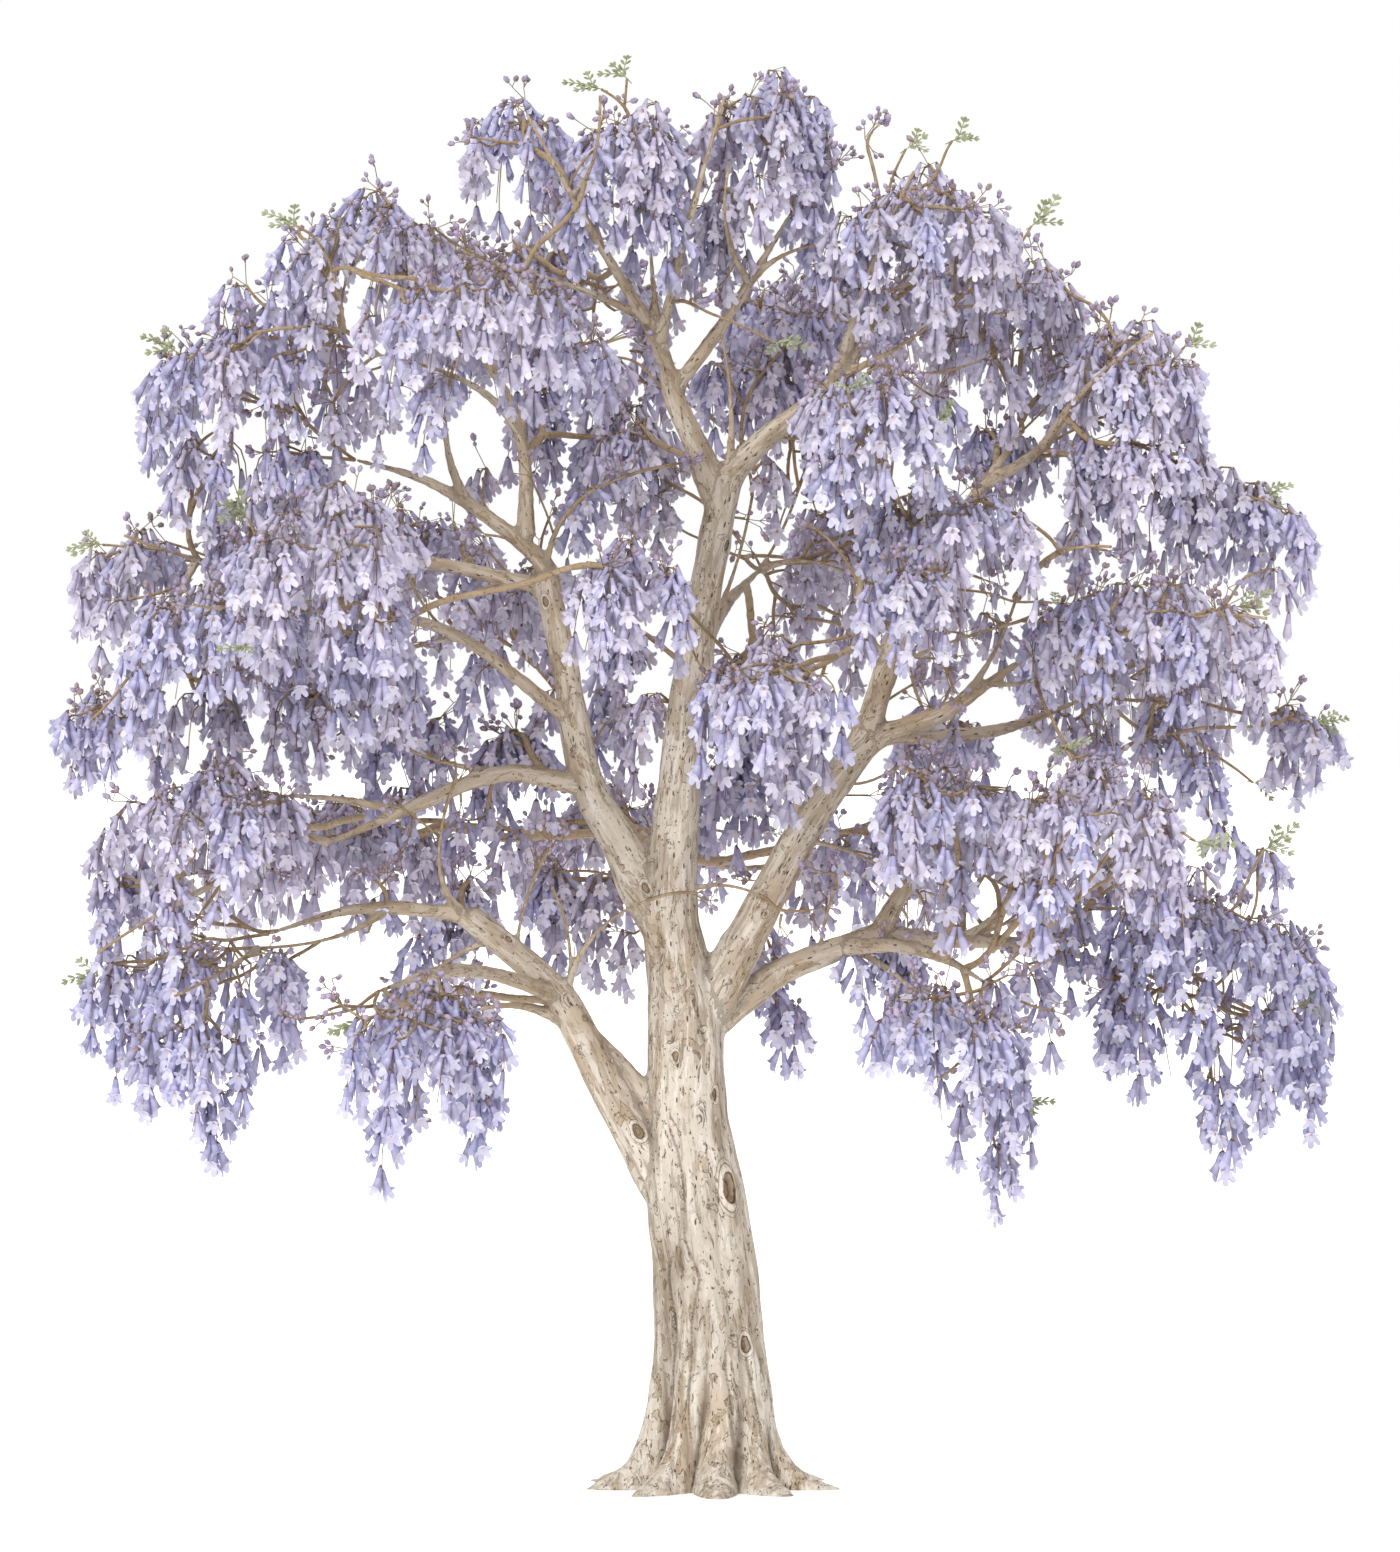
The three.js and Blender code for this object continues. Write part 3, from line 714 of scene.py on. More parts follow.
# The creases get painted shade: sharp ones everywhere, and broad hollows between the trunk's folds.
outward = normals_of(skin_mesh, skin)
hollow = ((neighbours(skin) - skin) * outward).sum(axis=1)
for _ in range(4):
    hollow = neighbours(hollow[:, None])[:, 0]
crease_shade = np.clip(hollow / 0.00055, 0.0, 1.0)
for _ in range(5):
    hollow = neighbours(hollow[:, None])[:, 0]
thick = girth > TRUNK_GIRTH
faint, plain = np.percentile(hollow[thick], [89.0, 98.0])
crease_shade = np.maximum(crease_shade, 0.95 * np.clip((hollow - faint) / (plain - faint), 0.0, 1.0) * thick)

# Uneven growth, then fine upright folds on the trunk and cross wrinkles where the roots turn.
stout = np.clip((girth - 0.1) / 0.2, 0.0, 1.0)
slight = np.clip((0.12 - girth) / 0.06, 0.0, 1.0)
relief = 0.007 * lumps(skin, 0.30, 3) * np.minimum(girth / 0.2, 1.0)
relief += 0.0030 * lumps(grain * (1.0, 1.0, 0.45), 0.07, 4) * np.minimum(girth / 0.1, 1.0)
relief += 0.0035 * lumps(grain * (1.0, 1.0, 0.22), 0.045, 5) * stout
low_down = np.exp(-np.maximum(skin[:, 2], 0.0) / 0.35)
relief += 0.0065 * low_down * np.abs(np.sin(skin[:, 2] * 34 + 2.2 * lumps(skin, 0.18, 6))) ** 0.6
relief += 0.0016 * slight * np.sin(grain[:, 2] * 55 + 2.5 * lumps(skin, 0.15, 8))
bark_dark = 0.85 * crease_shade
fold_line = np.full(len(skin), FAR_FROM_ANY)
knot_ring = np.full(len(skin), FAR_FROM_ANY)
# Painted light and shade follow the relief: darker in its hollows, lighter on its ridges.
shade = relief / (0.006 + 0.004 * stout)

# The long folds are soft channels with a raised lip, with painted light on one side and painted
# shade on the other.
front = np.flatnonzero((outward[:, 1] < -0.15) & (skin[:, 2] < 4.0) & (girth > 0.12))
for fold in FOLDS:
    corners = np.array([(right, 0.0, height) for right, height in fold])
    line, _, _ = resampled(corners, np.zeros(len(fold)), FOLD_STEP)
    count = np.arange(len(line))
    line[:, 0] += 0.008 * np.sin(count * 0.20)
    strength = np.clip(np.minimum(count + 4, len(line) + 6 - count) / 22.0, 0.0, 1.0)
    across = skin[front, 0][:, None] - line[:, 0]
    away = np.hypot(across, skin[front, 2][:, None] - line[:, 2])
    nearest = (np.arange(len(front)), away.argmin(axis=1))
    away, strong, left_of = away[nearest], strength[nearest[1]], across[nearest] < 0
    channel = np.exp(-(away / FOLD_WIDTH) ** 2)
    raised = 0.5 * np.exp(-((away / FOLD_WIDTH - 2.2) / 1.2) ** 2)
    relief[front] += FOLD_DEPTH * strong * (raised - channel)
    fold_line[front] = np.minimum(fold_line[front], away / FOLD_WIDTH + 1.5 * (1 - strong))
    shade[front] -= 1.5 * strong * left_of * np.exp(-(away / 0.095) ** 2)
    shade[front] += 0.7 * strong * ~left_of * np.exp(-((away - 0.06) / 0.03) ** 2)

# Knots: healed stubs with a raised lip round a hollow, on the front and round the other sides.
bark_tree = BVHTree.FromPolygons(skin.tolist(), [tuple(p.vertices) for p in skin_mesh.polygons])
knots = []
for right, height, wide, tall, deep in FRONT_KNOTS:
    place = bark_tree.ray_cast(Vector((right, -IN_FRONT, height)), BACKWARDS)[0]
    if place is not None:
        knots.append((place, wide, tall, deep))
for _ in range(OTHER_KNOTS):
    chosen = int(rng.choice(np.flatnonzero(limb_girth > 0.075)))
    on_trunk = limb_girth[chosen] > TRUNK_GIRTH
    turn = rng.uniform(0.0, math.pi if on_trunk else 2 * math.pi)
    way = Vector(math.cos(turn) * limb_side[chosen] + math.sin(turn) * limb_over[chosen])
    if on_trunk and way.y < 0.2:
        way.y = 0.5
    aim = Vector(limb_at[chosen]) + way.normalized() * limb_girth[chosen]
    size = rng.uniform(0.20, 0.30) * min(limb_girth[chosen], 0.18) + 0.008
    tall = size * rng.uniform(1.4, 1.9)
    knots.append((bark_tree.find_nearest(aim)[0], size, tall, rng.uniform(0.5, 0.9)))

# Each knot carves a hollow, raises its lip, darkens its inside, more towards one side, and gets a
# painted highlight round its lip.
for place, wide, tall, deep in knots:
    place = np.array(place)
    middle = int(np.linalg.norm(skin - place, axis=1).argmin())
    normal = outward[middle]
    along = unit(limb_way[near[middle]] - normal * normal.dot(limb_way[near[middle]]))
    across = np.cross(normal, along)
    away = skin - place
    ring = np.hypot(away @ along / tall, away @ across / wide)
    ring[np.linalg.norm(away, axis=1) > KNOT_REACH * tall] = NO_RING
    ring = ring * (1 + 0.06 * np.sin(3 * np.arctan2(away @ along, away @ across) + wide * 300))
    lip = 0.30 * wide * deep
    edge = np.exp(-((ring - 1.05) / 0.24) ** 2)
    relief += lip * edge + 0.5 * lip * np.exp(-((ring - 1.2) / 0.9) ** 2)
    relief -= 2.2 * lip * np.clip((0.85 - ring) / 0.4, 0.0, 1.0) ** 0.7
    lean = 0.7 + 0.3 * np.tanh((away @ across) / wide * 2.0)
    inside = np.clip((0.92 - ring) / 0.25, 0.0, 1.0)
    bark_dark = np.maximum(bark_dark, (0.20 + 0.65 * deep ** 2) * lean * inside)
    knot_ring = np.minimum(knot_ring, ring + 0.9 * (1 - deep))
    shade = np.maximum(shade, 1.2 * np.exp(-((ring - 1.14) / 0.16) ** 2))
skin += outward * relief[:, None]
skin[:, 2] = np.maximum(skin[:, 2], 0.0)
normals_of(skin_mesh, skin)


def write_attribute(mesh, name, kind, values):
    """Stores a value for every corner of a mesh under a name that its material reads."""
    field = "vector" if kind == "FLOAT_VECTOR" else "value"
    flat = np.asarray(values, dtype=np.float32).ravel()
    mesh.attributes.new(name, kind, "POINT").data.foreach_set(field, flat)


def stored(tree, name, output="Fac"):
    """A value that is stored at the corners of the mesh."""
    return add_node(tree, "ShaderNodeAttribute", {"attribute_name": name}, output=output)


write_attribute(skin_mesh, "grain", "FLOAT_VECTOR", grain)
for name, values in (("girth", girth), ("bark_dark", bark_dark), ("bark_shade", shade),
                     ("fold_line", fold_line), ("knot_ring", knot_ring)):
    write_attribute(skin_mesh, name, "FLOAT", values)
skin_mesh.polygons.foreach_set("use_smooth", np.ones(len(skin_mesh.polygons), dtype=bool))
skin_object = bpy.data.objects.new("whole_skin", skin_mesh)
bpy.context.scene.collection.objects.link(skin_object)
thin_out = skin_object.modifiers.new("thin_out", "DECIMATE")
thin_out.ratio = SKIN_FACES / (2 * len(skin_mesh.polygons))
bark_mesh = melted(skin_object)
bark_mesh.name = "trunk_and_boughs"
bark = bpy.data.objects.new("trunk_and_boughs", bark_mesh)
bpy.context.scene.collection.objects.link(bark)

bark_material, tree, shader = new_material("bark", 0.78, 0.22)
grain_at = stored(tree, "grain", "Vector")
girth_at = stored(tree, "girth")
shade_and_knot_dark_at = stored(tree, "bark_dark")
shade_at = stored(tree, "bark_shade")
fold_at = stored(tree, "fold_line")
ring_at = stored(tree, "knot_ring")


def stretched(vector, across, along):
    """The grain's coordinates scaled across and along the limb."""
    return add_node(vector.tree, "ShaderNodeVectorMath", {"operation": "MULTIPLY"},
                    {0: vector, 1: (across, across, along)})


def noise(vector, scale, detail=4.0, roughness=0.55, distortion=0.0):
    """Soft uneven noise, 0 to 1, with blotches of about 1 / scale metres."""
    return add_node(vector.tree, "ShaderNodeTexNoise", {}, {
        "Vector": vector, "Scale": scale, "Detail": detail, "Roughness": roughness,
        "Distortion": distortion})


def bump(tree, height, strength, distance):
    """The normal of a surface with a fine relief."""
    return add_node(tree, "ShaderNodeBump", {},
                    {"Height": height, "Strength": strength, "Distance": distance})


def layered(tree, colour, layers):
    """A colour with others laid over it in turn: how much of each shows, and its paint."""
    for share, shade in layers:
        colour = blend(tree, share, colour, paint(*shade))
    return colour


def line_in(value, start, full, fade, end):
    """1 on a band of a value, 0 on both sides of it."""
    return value.ramp(start, full) - value.ramp(fade, end)


def flecks(vector, scale, size, share):
    """Small scattered marks: 1 inside a mark. share: how many cells carry one."""
    cell = {"Vector": vector, "Scale": scale, "Randomness": 1.0}
    distance = add_node(vector.tree, "ShaderNodeTexVoronoi", {}, cell, "Distance")
    colour = add_node(vector.tree, "ShaderNodeTexVoronoi", {}, cell, "Color")
    draw = add_node(vector.tree, "ShaderNodeSeparateColor", {}, {"Color": colour}, "Red")
    return (1 - distance.ramp(size * 0.6, size)) * draw.ramp(1 - share - 0.02, 1 - share + 0.02)


patches = noise(stretched(grain_at, 1.0, 0.42), 4.5, 5.0, 0.62, 0.9)
flakes = noise(stretched(grain_at, 1.0, 0.40), 9.0, 4.0, 0.55, 1.4)
clouds = noise(stretched(grain_at, 1.0, 0.55), 1.6, 3.0, 0.5, 0.3)
streaks_and_sheen = noise(stretched(grain_at, 1.0, 0.10), 22.0, 4.0, 0.6)
fine = noise(stretched(grain_at, 1.0, 0.4), 60.0, 4.0, 0.65)
thin_limb = 1 - girth_at.ramp(0.03, 0.17)

# The marks of the bark: thin edges round flakes, pencil lines, long and short flecks, a broken
# line of painted shade down each long fold, and rings round each knot's dark middle.
high_edge = line_in(flakes, 0.592, 0.606, 0.612, 0.630)
flake_edge = high_edge + flakes.ramp(0.392, 0.380) * flakes.ramp(0.356, 0.370)
pencil = line_in(patches, 0.470, 0.478, 0.482, 0.490) * clouds.ramp(0.44, 0.54)
long_flecks = flecks(stretched(grain_at, 1.0, 0.26), 26.0, 0.18, 0.58)
dot_flecks = flecks(stretched(grain_at, 1.0, 0.70), 33.0, 0.20, 0.45)
all_flecks = long_flecks.maths("MAXIMUM", long_flecks * 0.9, dot_flecks * 0.85)
wavy_fold = fold_at + (streaks_and_sheen - 0.5) * 1.1
wavy_ring = ring_at + (flakes - 0.5) * 0.25
pale_ring = wavy_ring.ramp(1.55, 1.25) - wavy_ring.ramp(1.10, 0.95)
knot_lines = (line_in(wavy_ring, 0.80, 0.86, 0.90, 0.97)
              + line_in(wavy_ring, 1.34, 1.40, 1.43, 1.50) * 0.8
              + line_in(wavy_ring, 1.66, 1.71, 1.74, 1.80) * 0.5
              + line_in(wavy_ring, 0.42, 0.48, 0.52, 0.60) * 0.6)

# Pale patches and warm clouds, painted shade in the hollows and painted light on the ridges, and
# then the marks.
colour = blend(tree, patches.ramp(0.42, 0.54), paint(188, 173, 153), paint(214, 203, 187))
colour = layered(tree, colour, [
    (clouds.ramp(0.52, 0.64) * 0.5, (180, 156, 126)),
    (shade_at.ramp(0.1, -1.2) * 0.85, (120, 104, 85)),
    (shade_at.ramp(0.35, 1.3) * 0.8, (229, 221, 208)),
    (flakes.ramp(0.600, 0.625) * 0.55, (170, 147, 117)),
    (flakes.ramp(0.385, 0.355) * 0.6, (217, 208, 194)),
    (flake_edge * 0.8, (90, 74, 57)),
    (pencil * 0.5, (112, 96, 78)),
    (streaks_and_sheen.ramp(0.54, 0.61) * 0.45, (126, 110, 91)),
    # Pale upright streaks are a painted sheen; the dark ones above are the bark's own streaks.
    (streaks_and_sheen.ramp(0.44, 0.39) * 0.6, (234, 227, 215)),
    (thin_limb * 0.5, (156, 133, 104)),
    (fine.ramp(0.52, 0.72) * 0.30, (118, 100, 80)),
    (all_flecks, (66, 51, 38)),
    # Painted shade in the creases, and the dark inside of each knot.
    (shade_and_knot_dark_at * 0.92, (84, 67, 50)),
    # A broken dark line of painted shade down each long fold.
    (wavy_fold.ramp(0.66, 0.20) * 0.62, (92, 76, 60)),
    (pale_ring * 0.28, (232, 222, 206)),
    (wavy_ring.ramp(0.95, 0.80) * 0.6, (150, 124, 92)),
    (knot_lines * 0.9, (76, 58, 42)),
])
feed(shader, "Base Color", colour)
raised_grain = fine * 0.3 + streaks_and_sheen * 0.4 + flakes * 0.8
sunk_marks = flake_edge * 0.3 + long_flecks * 0.5 + dot_flecks * 0.4
feed(shader, "Normal", bump(tree, raised_grain - sunk_marks, 0.8, 0.008))
bark_mesh.materials.clear()
bark_mesh.materials.append(bark_material)
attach(bark, "root")
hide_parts(*LIMBS)


# ---- Where the blossom hangs ----------------------------------------------------------
# Jacaranda flowers hang in long loose sprays from the ends of the twigs. Each mass of the packed
# model is filled with sprays side by side, each as long as the mass is deep there, and small
# bunches are added between the masses.

MASSES = [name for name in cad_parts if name.startswith("blossom_")]
UP = np.array([0.0, 0.0, 1.0])

SPRAY_SPACING = 0.36
SPRAY_LENGTH = 0.82
SPRAY_SHORTEST = 0.34
SPRAY_GIRTHS = (0.21, 0.17, 0.13)
SPRAY_LEAN = 0.24
SPRAY_SLIDES = (0.0, 0.07, 0.14, 0.21)
RIM = 0.42
SMALL_BUNCH = 0.58
SMALL_BUNCH_GIRTH = 0.42
FILLERS = 26
FILLER_HALF = 0.50
FILLER_APART = 0.75
FILLER_REACH = 0.48
CROWN_MIDDLE = np.array([-0.1, 0.2, 5.7])
CROWN_HALF = np.array([4.4, 3.7, 4.1])
HIGH_TINTS = (0, 1, 2, 4)
LOW_TINTS = (5, 1, 0)
BACK_TINTS = (2, 3, 4, 0)
BACK_STARTS = 0.8
LOW_ENDS = 4.2

# Small bunches that hang between the masses and fill out their ragged feet: right, back, top,
# foot, breadth.
LOOSE_BUNCHES = [
    (-0.62, 0.90, 7.65, 6.30, 1.15), (0.40, 1.00, 8.10, 6.80, 0.90),
    (0.02, -0.10, 9.05, 8.10, 0.60), (-2.00, -0.20, 7.90, 7.10, 0.55),
    (2.60, -0.30, 7.35, 6.30, 0.75), (3.20, -0.30, 7.10, 6.20, 0.80),
    (-3.55, -0.20, 7.45, 6.60, 0.75), (-2.95, -0.40, 7.40, 6.55, 0.75),
    (-3.50, -0.30, 5.70, 4.85, 0.75), (-2.85, -0.50, 5.70, 4.85, 0.80),
    (-2.15, 0.30, 5.50, 4.45, 0.85), (-1.45, 0.40, 5.40, 4.40, 0.75),
    (-2.35, -0.20, 4.30, 3.35, 0.65), (-1.80, 0.10, 4.30, 3.40, 0.65),
    (-1.10, 0.80, 4.40, 3.50, 0.65), (-0.75, 1.00, 4.35, 3.45, 0.45),
    (0.48, 0.50, 3.95, 2.85, 0.48), (0.68, 0.60, 4.45, 3.50, 0.55), (0.10, 0.90, 5.20, 4.25, 0.90),
    (0.35, 0.70, 5.60, 4.60, 0.85), (1.25, 0.30, 3.90, 3.10, 0.60), (1.65, 0.30, 5.50, 4.60, 0.95),
    (3.15, -0.20, 5.60, 4.65, 0.60), (2.90, -0.60, 3.70, 2.45, 0.70),
    (3.60, -0.40, 3.40, 2.20, 0.75), (4.12, 0.00, 3.40, 2.40, 0.50),
    (1.92, -1.40, 3.20, 1.96, 0.70), (-4.14, 0.20, 3.70, 2.80, 0.50),
    (-3.50, -1.00, 3.40, 2.32, 0.80), (-1.72, -0.60, 3.30, 2.32, 0.50),
    (2.05, 0.30, 7.50, 6.85, 0.65), (2.28, -0.50, 3.80, 2.95, 0.50),
    (-2.62, -0.30, 3.95, 3.20, 0.50), (0.26, -0.10, 9.15, 8.45, 0.50),
    (-0.60, 0.70, 6.10, 4.90, 0.60), (-1.30, 0.90, 7.80, 6.90, 0.70),
    (-0.85, 0.75, 8.00, 7.15, 0.56), (-0.06, 0.90, 7.95, 7.15, 0.44),
    (-0.32, 0.50, 8.80, 8.10, 0.46), (0.66, 0.00, 9.02, 8.30, 0.48),
    (-1.04, 0.50, 7.05, 6.30, 0.44), (1.05, 0.40, 7.40, 6.70, 0.52),
    (-3.30, -0.10, 8.52, 7.90, 0.56), (-3.50, -0.10, 6.78, 6.25, 0.48),
    (-4.20, -0.10, 6.30, 5.72, 0.46), (-2.25, -0.20, 5.80, 5.15, 0.60),
    (-1.65, 0.10, 5.80, 5.20, 0.55), (-0.47, 0.40, 5.65, 4.80, 0.42),
    (-1.55, 0.50, 4.62, 3.90, 0.52), (-2.10, 0.20, 3.90, 3.28, 0.44),
    (-4.26, 0.10, 4.68, 4.10, 0.46), (-0.62, 0.90, 3.95, 3.42, 0.44),
    (0.47, 0.50, 3.60, 2.86, 0.44), (1.08, 0.20, 3.80, 3.15, 0.44), (2.80, -0.40, 5.52, 4.80, 0.46),
    (3.42, -0.30, 5.18, 4.50, 0.46), (3.96, 0.00, 6.50, 5.92, 0.42),
    (2.80, -0.20, 7.68, 7.05, 0.44), (1.68, 0.00, 7.72, 7.10, 0.44),
    (2.60, -0.20, 4.18, 3.55, 0.44), (3.60, -0.20, 4.65, 4.10, 0.46),
    (-2.20, -1.90, 2.85, 2.16, 0.46), (-1.66, -1.60, 2.95, 2.35, 0.44),
    (3.56, -0.60, 2.95, 2.28, 0.46), (4.18, 0.10, 3.00, 2.42, 0.44),
    (-4.18, 0.10, 3.30, 2.66, 0.46), (-2.35, -0.10, 7.78, 7.12, 0.46),
    (2.00, -0.10, 7.92, 7.28, 0.50), (-2.50, -0.30, 5.88, 5.18, 0.46),
    (-1.90, 0.00, 6.30, 5.60, 0.44), (-1.20, 0.40, 5.62, 4.98, 0.46),
    (-1.78, 0.30, 4.78, 4.16, 0.40), (-0.88, 0.80, 4.28, 3.58, 0.42),
    (3.39, -0.40, 3.55, 2.90, 0.44), (0.80, 0.50, 4.95, 4.35, 0.46),
    (1.95, -1.95, 3.74, 3.02, 0.44), (0.40, 0.80, 7.22, 6.62, 0.44),
    (-1.72, 0.40, 7.22, 6.70, 0.42), (2.50, -0.20, 3.92, 3.32, 0.44),
    (3.90, -0.10, 4.52, 4.02, 0.42), (2.05, -0.10, 6.20, 5.60, 0.42),
    (2.55, -0.10, 5.45, 4.85, 0.44),
]

# Openings that stay clear of blossom from front to back: right, height, half breadth and half
# height.
CLEARINGS = [
    (-1.86, 9.45, 0.16, 0.34), (-0.75, 8.22, 0.16, 0.20), (0.20, 6.46, 0.15, 0.40),
    (-2.46, 3.84, 0.15, 0.22), (-4.46, 3.80, 0.16, 0.34), (-3.76, 2.48, 0.20, 0.30),
    (3.52, 7.62, 0.18, 0.28), (1.22, 2.72, 0.24, 0.38), (0.80, 5.74, 0.14, 0.20),
    (-1.62, 7.52, 0.12, 0.26), (-1.15, 3.05, 0.10, 0.15), (4.36, 4.78, 0.10, 0.20),
    (1.06, 7.78, 0.12, 0.14), (-1.97, 6.20, 0.13, 0.20), (0.42, 6.20, 0.12, 0.20),
    (3.17, 4.60, 0.15, 0.12), (1.90, 4.22, 0.16, 0.14), (2.80, 2.62, 0.22, 0.20),
    (-4.64, 5.10, 0.10, 0.22), (4.05, 5.82, 0.14, 0.18),
]

# The middle of a bunch and points round its outline, in parts of its reach: right and up.
OUTLINE = [
    (0, 0), (1, 0), (-1, 0), (0, 1), (0, -1.15), (0.7, 0.7), (-0.7, 0.7), (0.7, -0.8), (-0.7, -0.8),
]


class Spray:
    """One hanging spray: where it starts and ends, which way is out of the crown, how stout it
    is and which tint it has. arrival: which way its twig comes in."""

    def __init__(self, top, foot, out, girth, tint):
        self.top = top
        self.foot = foot
        self.out = out
        self.girth = girth
        self.tint = tint
        self.arrival = UP


def span_at(tree, x, y):
    """The heights at which a mass begins and ends above a point of the ground."""
    high = tree.ray_cast(Vector((x, y, 20.0)), Vector((0.0, 0.0, -1.0)))[0]
    if high is None:
        return None
    return tree.ray_cast(Vector((x, y, -1.0)), Vector((0.0, 0.0, 1.0)))[0].z, high.z


def fits(tree, x, y, reach):
    """Whether a mass is there all round a point, at a distance from it."""
    turns = np.arange(6) * math.pi / 3
    found = [span_at(tree, x + reach * math.cos(turn), y + reach * math.sin(turn))
             for turn in turns]
    return sum(span is not None for span in found) >= 5


def egg(right, back, top, foot, breadth):
    """A plain egg-shaped solid as a search tree, for a loose bunch."""
    corners, faces = tube(
        np.column_stack([np.full(7, right), np.full(7, back), np.linspace(top, foot, 7)]),
        0.5 * breadth * np.array([0.3, 0.8, 1.0, 0.95, 0.8, 0.55, 0.2]), 10)
    return BVHTree.FromPolygons(corners.tolist(), faces.tolist())


def cleared(points):
    """Whether each point lies in a clearing, as seen from the front."""
    points = np.atleast_2d(points)
    inside = np.zeros(len(points), dtype=bool)
    for right, height, half, rise in CLEARINGS:
        inside |= np.hypot((points[:, 0] - right) / half, (points[:, 2] - height) / rise) < 1.0
    return inside


def joined_tree(names):
    """Nodes of the model as one search tree."""
    parts = []
    for name in names:
        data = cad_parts[name].data
        parts.append((np.array([v.co[:] for v in data.vertices]),
                      np.array([tuple(p.vertices) for p in data.polygons])))
    corners, faces = joined(parts)
    return BVHTree.FromPolygons(corners.tolist(), faces.tolist())


every_mass = joined_tree(MASSES)
every_limb = joined_tree(LIMBS)


def hidden_from_front(x, z, reach):
    """Whether masses, and no limb before them, cover a bunch's outline as seen from the front."""
    for right, up in OUTLINE:
        start = Vector((x + right * reach, -IN_FRONT, z + up * reach))
        mass = every_mass.ray_cast(start, BACKWARDS)[3]
        limb = every_limb.ray_cast(start, BACKWARDS)[3]
        if mass is None or (limb is not None and limb < mass):
            return False
    return True


# The crown is filled out at the sides and the back by more bunches, where blossom already
# stands before or behind them as seen from the front.
rng = np.random.default_rng(3)
fillers = []
while len(fillers) < FILLERS:
    way = unit(rng.normal(size=3) * (0.6, 1.0, 0.8))
    x, y, z = CROWN_MIDDLE + way * CROWN_HALF * rng.uniform(0.55, 0.88)
    away = every_mass.find_nearest(Vector((x, y, z)))[3]
    apart = [np.linalg.norm(np.array((right, back, top - FILLER_HALF)) - (x, y, z))
             for right, back, top, _, _ in fillers]
    apart = min(apart, default=FAR_FROM_ANY)
    beside_a_mass = abs(y) > 0.8 and 0.22 < away < 1.0 and apart > FILLER_APART
    if beside_a_mass and hidden_from_front(x, z, FILLER_REACH):
        fillers.append((x, y, z + FILLER_HALF, z - FILLER_HALF, rng.uniform(0.85, 1.05)))

mass_trees = {name: joined_tree([name]) for name in MASSES}
shapes = [(name, *(np.array(corner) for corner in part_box(name))) for name in MASSES]
for number, (right, back, top, foot, breadth) in enumerate([*LOOSE_BUNCHES, *fillers]):
    name = f"loose_{number}"
    mass_trees[name] = egg(right, back, top, foot, breadth)
    half = 0.5 * breadth
    low = np.array([right - half, back - half, foot])
    high = np.array([right + half, back + half, top])
    shapes.append((name, low, high))

rng = np.random.default_rng(11)
sprays = []
for number, (name, low, high) in enumerate(shapes):
    tree = mass_trees[name]
    middle = 0.5 * (low + high)
    small = high[0] - low[0] < SMALL_BUNCH
    turn = rng.uniform(0, math.pi)
    across = np.array([math.cos(turn), math.sin(turn)]) * SPRAY_SPACING
    along = np.array([math.cos(turn + math.pi / 3), math.sin(turn + math.pi / 3)]) * SPRAY_SPACING
    grid = [(0, 0)] if small else itertools.product(range(-9, 10), repeat=2)
    for i, j in grid:
        spot = middle[:2] + i * across + j * along + (0.0 if small else rng.normal(0, 0.05, 2))
        inward = unit(middle[:2] - spot)
        girth = None
        for slide, size in itertools.product(SPRAY_SLIDES, SPRAY_GIRTHS):
            x, y = spot + inward * slide
            if fits(tree, x, y, size + 0.02) and span_at(tree, x, y):
                girth = size
                break
        if small:
            x, y = middle[:2]
            girth = SMALL_BUNCH_GIRTH * (high[0] - low[0])
        if girth is None:
            continue
        foot, top = span_at(tree, x, y)
        if top - foot < SPRAY_SHORTEST:
            continue
        # Sprays hang in tiers down the rim of a mass, and in one tier inside it.
        tiers = max(1, round((top - foot) / (0.85 * SPRAY_LENGTH)))
        out = unit(0.6 * unit(np.array([x, y]) - middle[:2]) + 0.4 * unit(np.array([x, y])))
        for tier in range(1 if fits(tree, x, y, RIM) else tiers):
            start = top - 0.03 - (top - foot) * tier / tiers + rng.uniform(-0.10, 0.0)
            length = min(SPRAY_LENGTH * rng.uniform(0.75, 1.2), start - foot)
            if length < SPRAY_SHORTEST:
                continue
            lean = SPRAY_LEAN * length * (1.0 if tier == 0 else 0.6)
            base = np.array([x, y]) + rng.normal(0, 0.03, 2)
            head = np.array([*(base - lean * out), start])
            tail = np.array([*(base + 0.35 * lean * out), start - length])
            if cleared(0.5 * (head + tail))[0]:
                continue
            tints = HIGH_TINTS
            if head[1] > BACK_STARTS:
                tints = BACK_TINTS
            elif head[2] < LOW_ENDS:
                tints = LOW_TINTS
            tint = tints[(number + int(rng.integers(0, 3))) % len(tints)]
            girth_here = girth * rng.uniform(0.9, 1.1)
            sprays.append(Spray(head, tail, np.array([*out, 0.0]), girth_here, tint))


# ---- Branches and twigs ---------------------------------------------------------------
# The boughs go on into the masses as thinner and thinner branches. They grow by one rule:
# from a bud on a bough, step by step towards the sprays and leafy tips that are still
# waiting, each taking the nearest branch that already heads its way.

GROWTH_STEP = 0.085
BUD_SPACING = 0.34
TRUNK_FIRST_BUD = 4.1
TRUNK_BUD_SPACING = 0.55
TWIG_RADIUS = 0.0097
CORE_SHARE = 0.75
CORE_SIDES = 6
KEEP_HEADING = 0.56
FAN_TIPS = 4
WANDER = 0.25

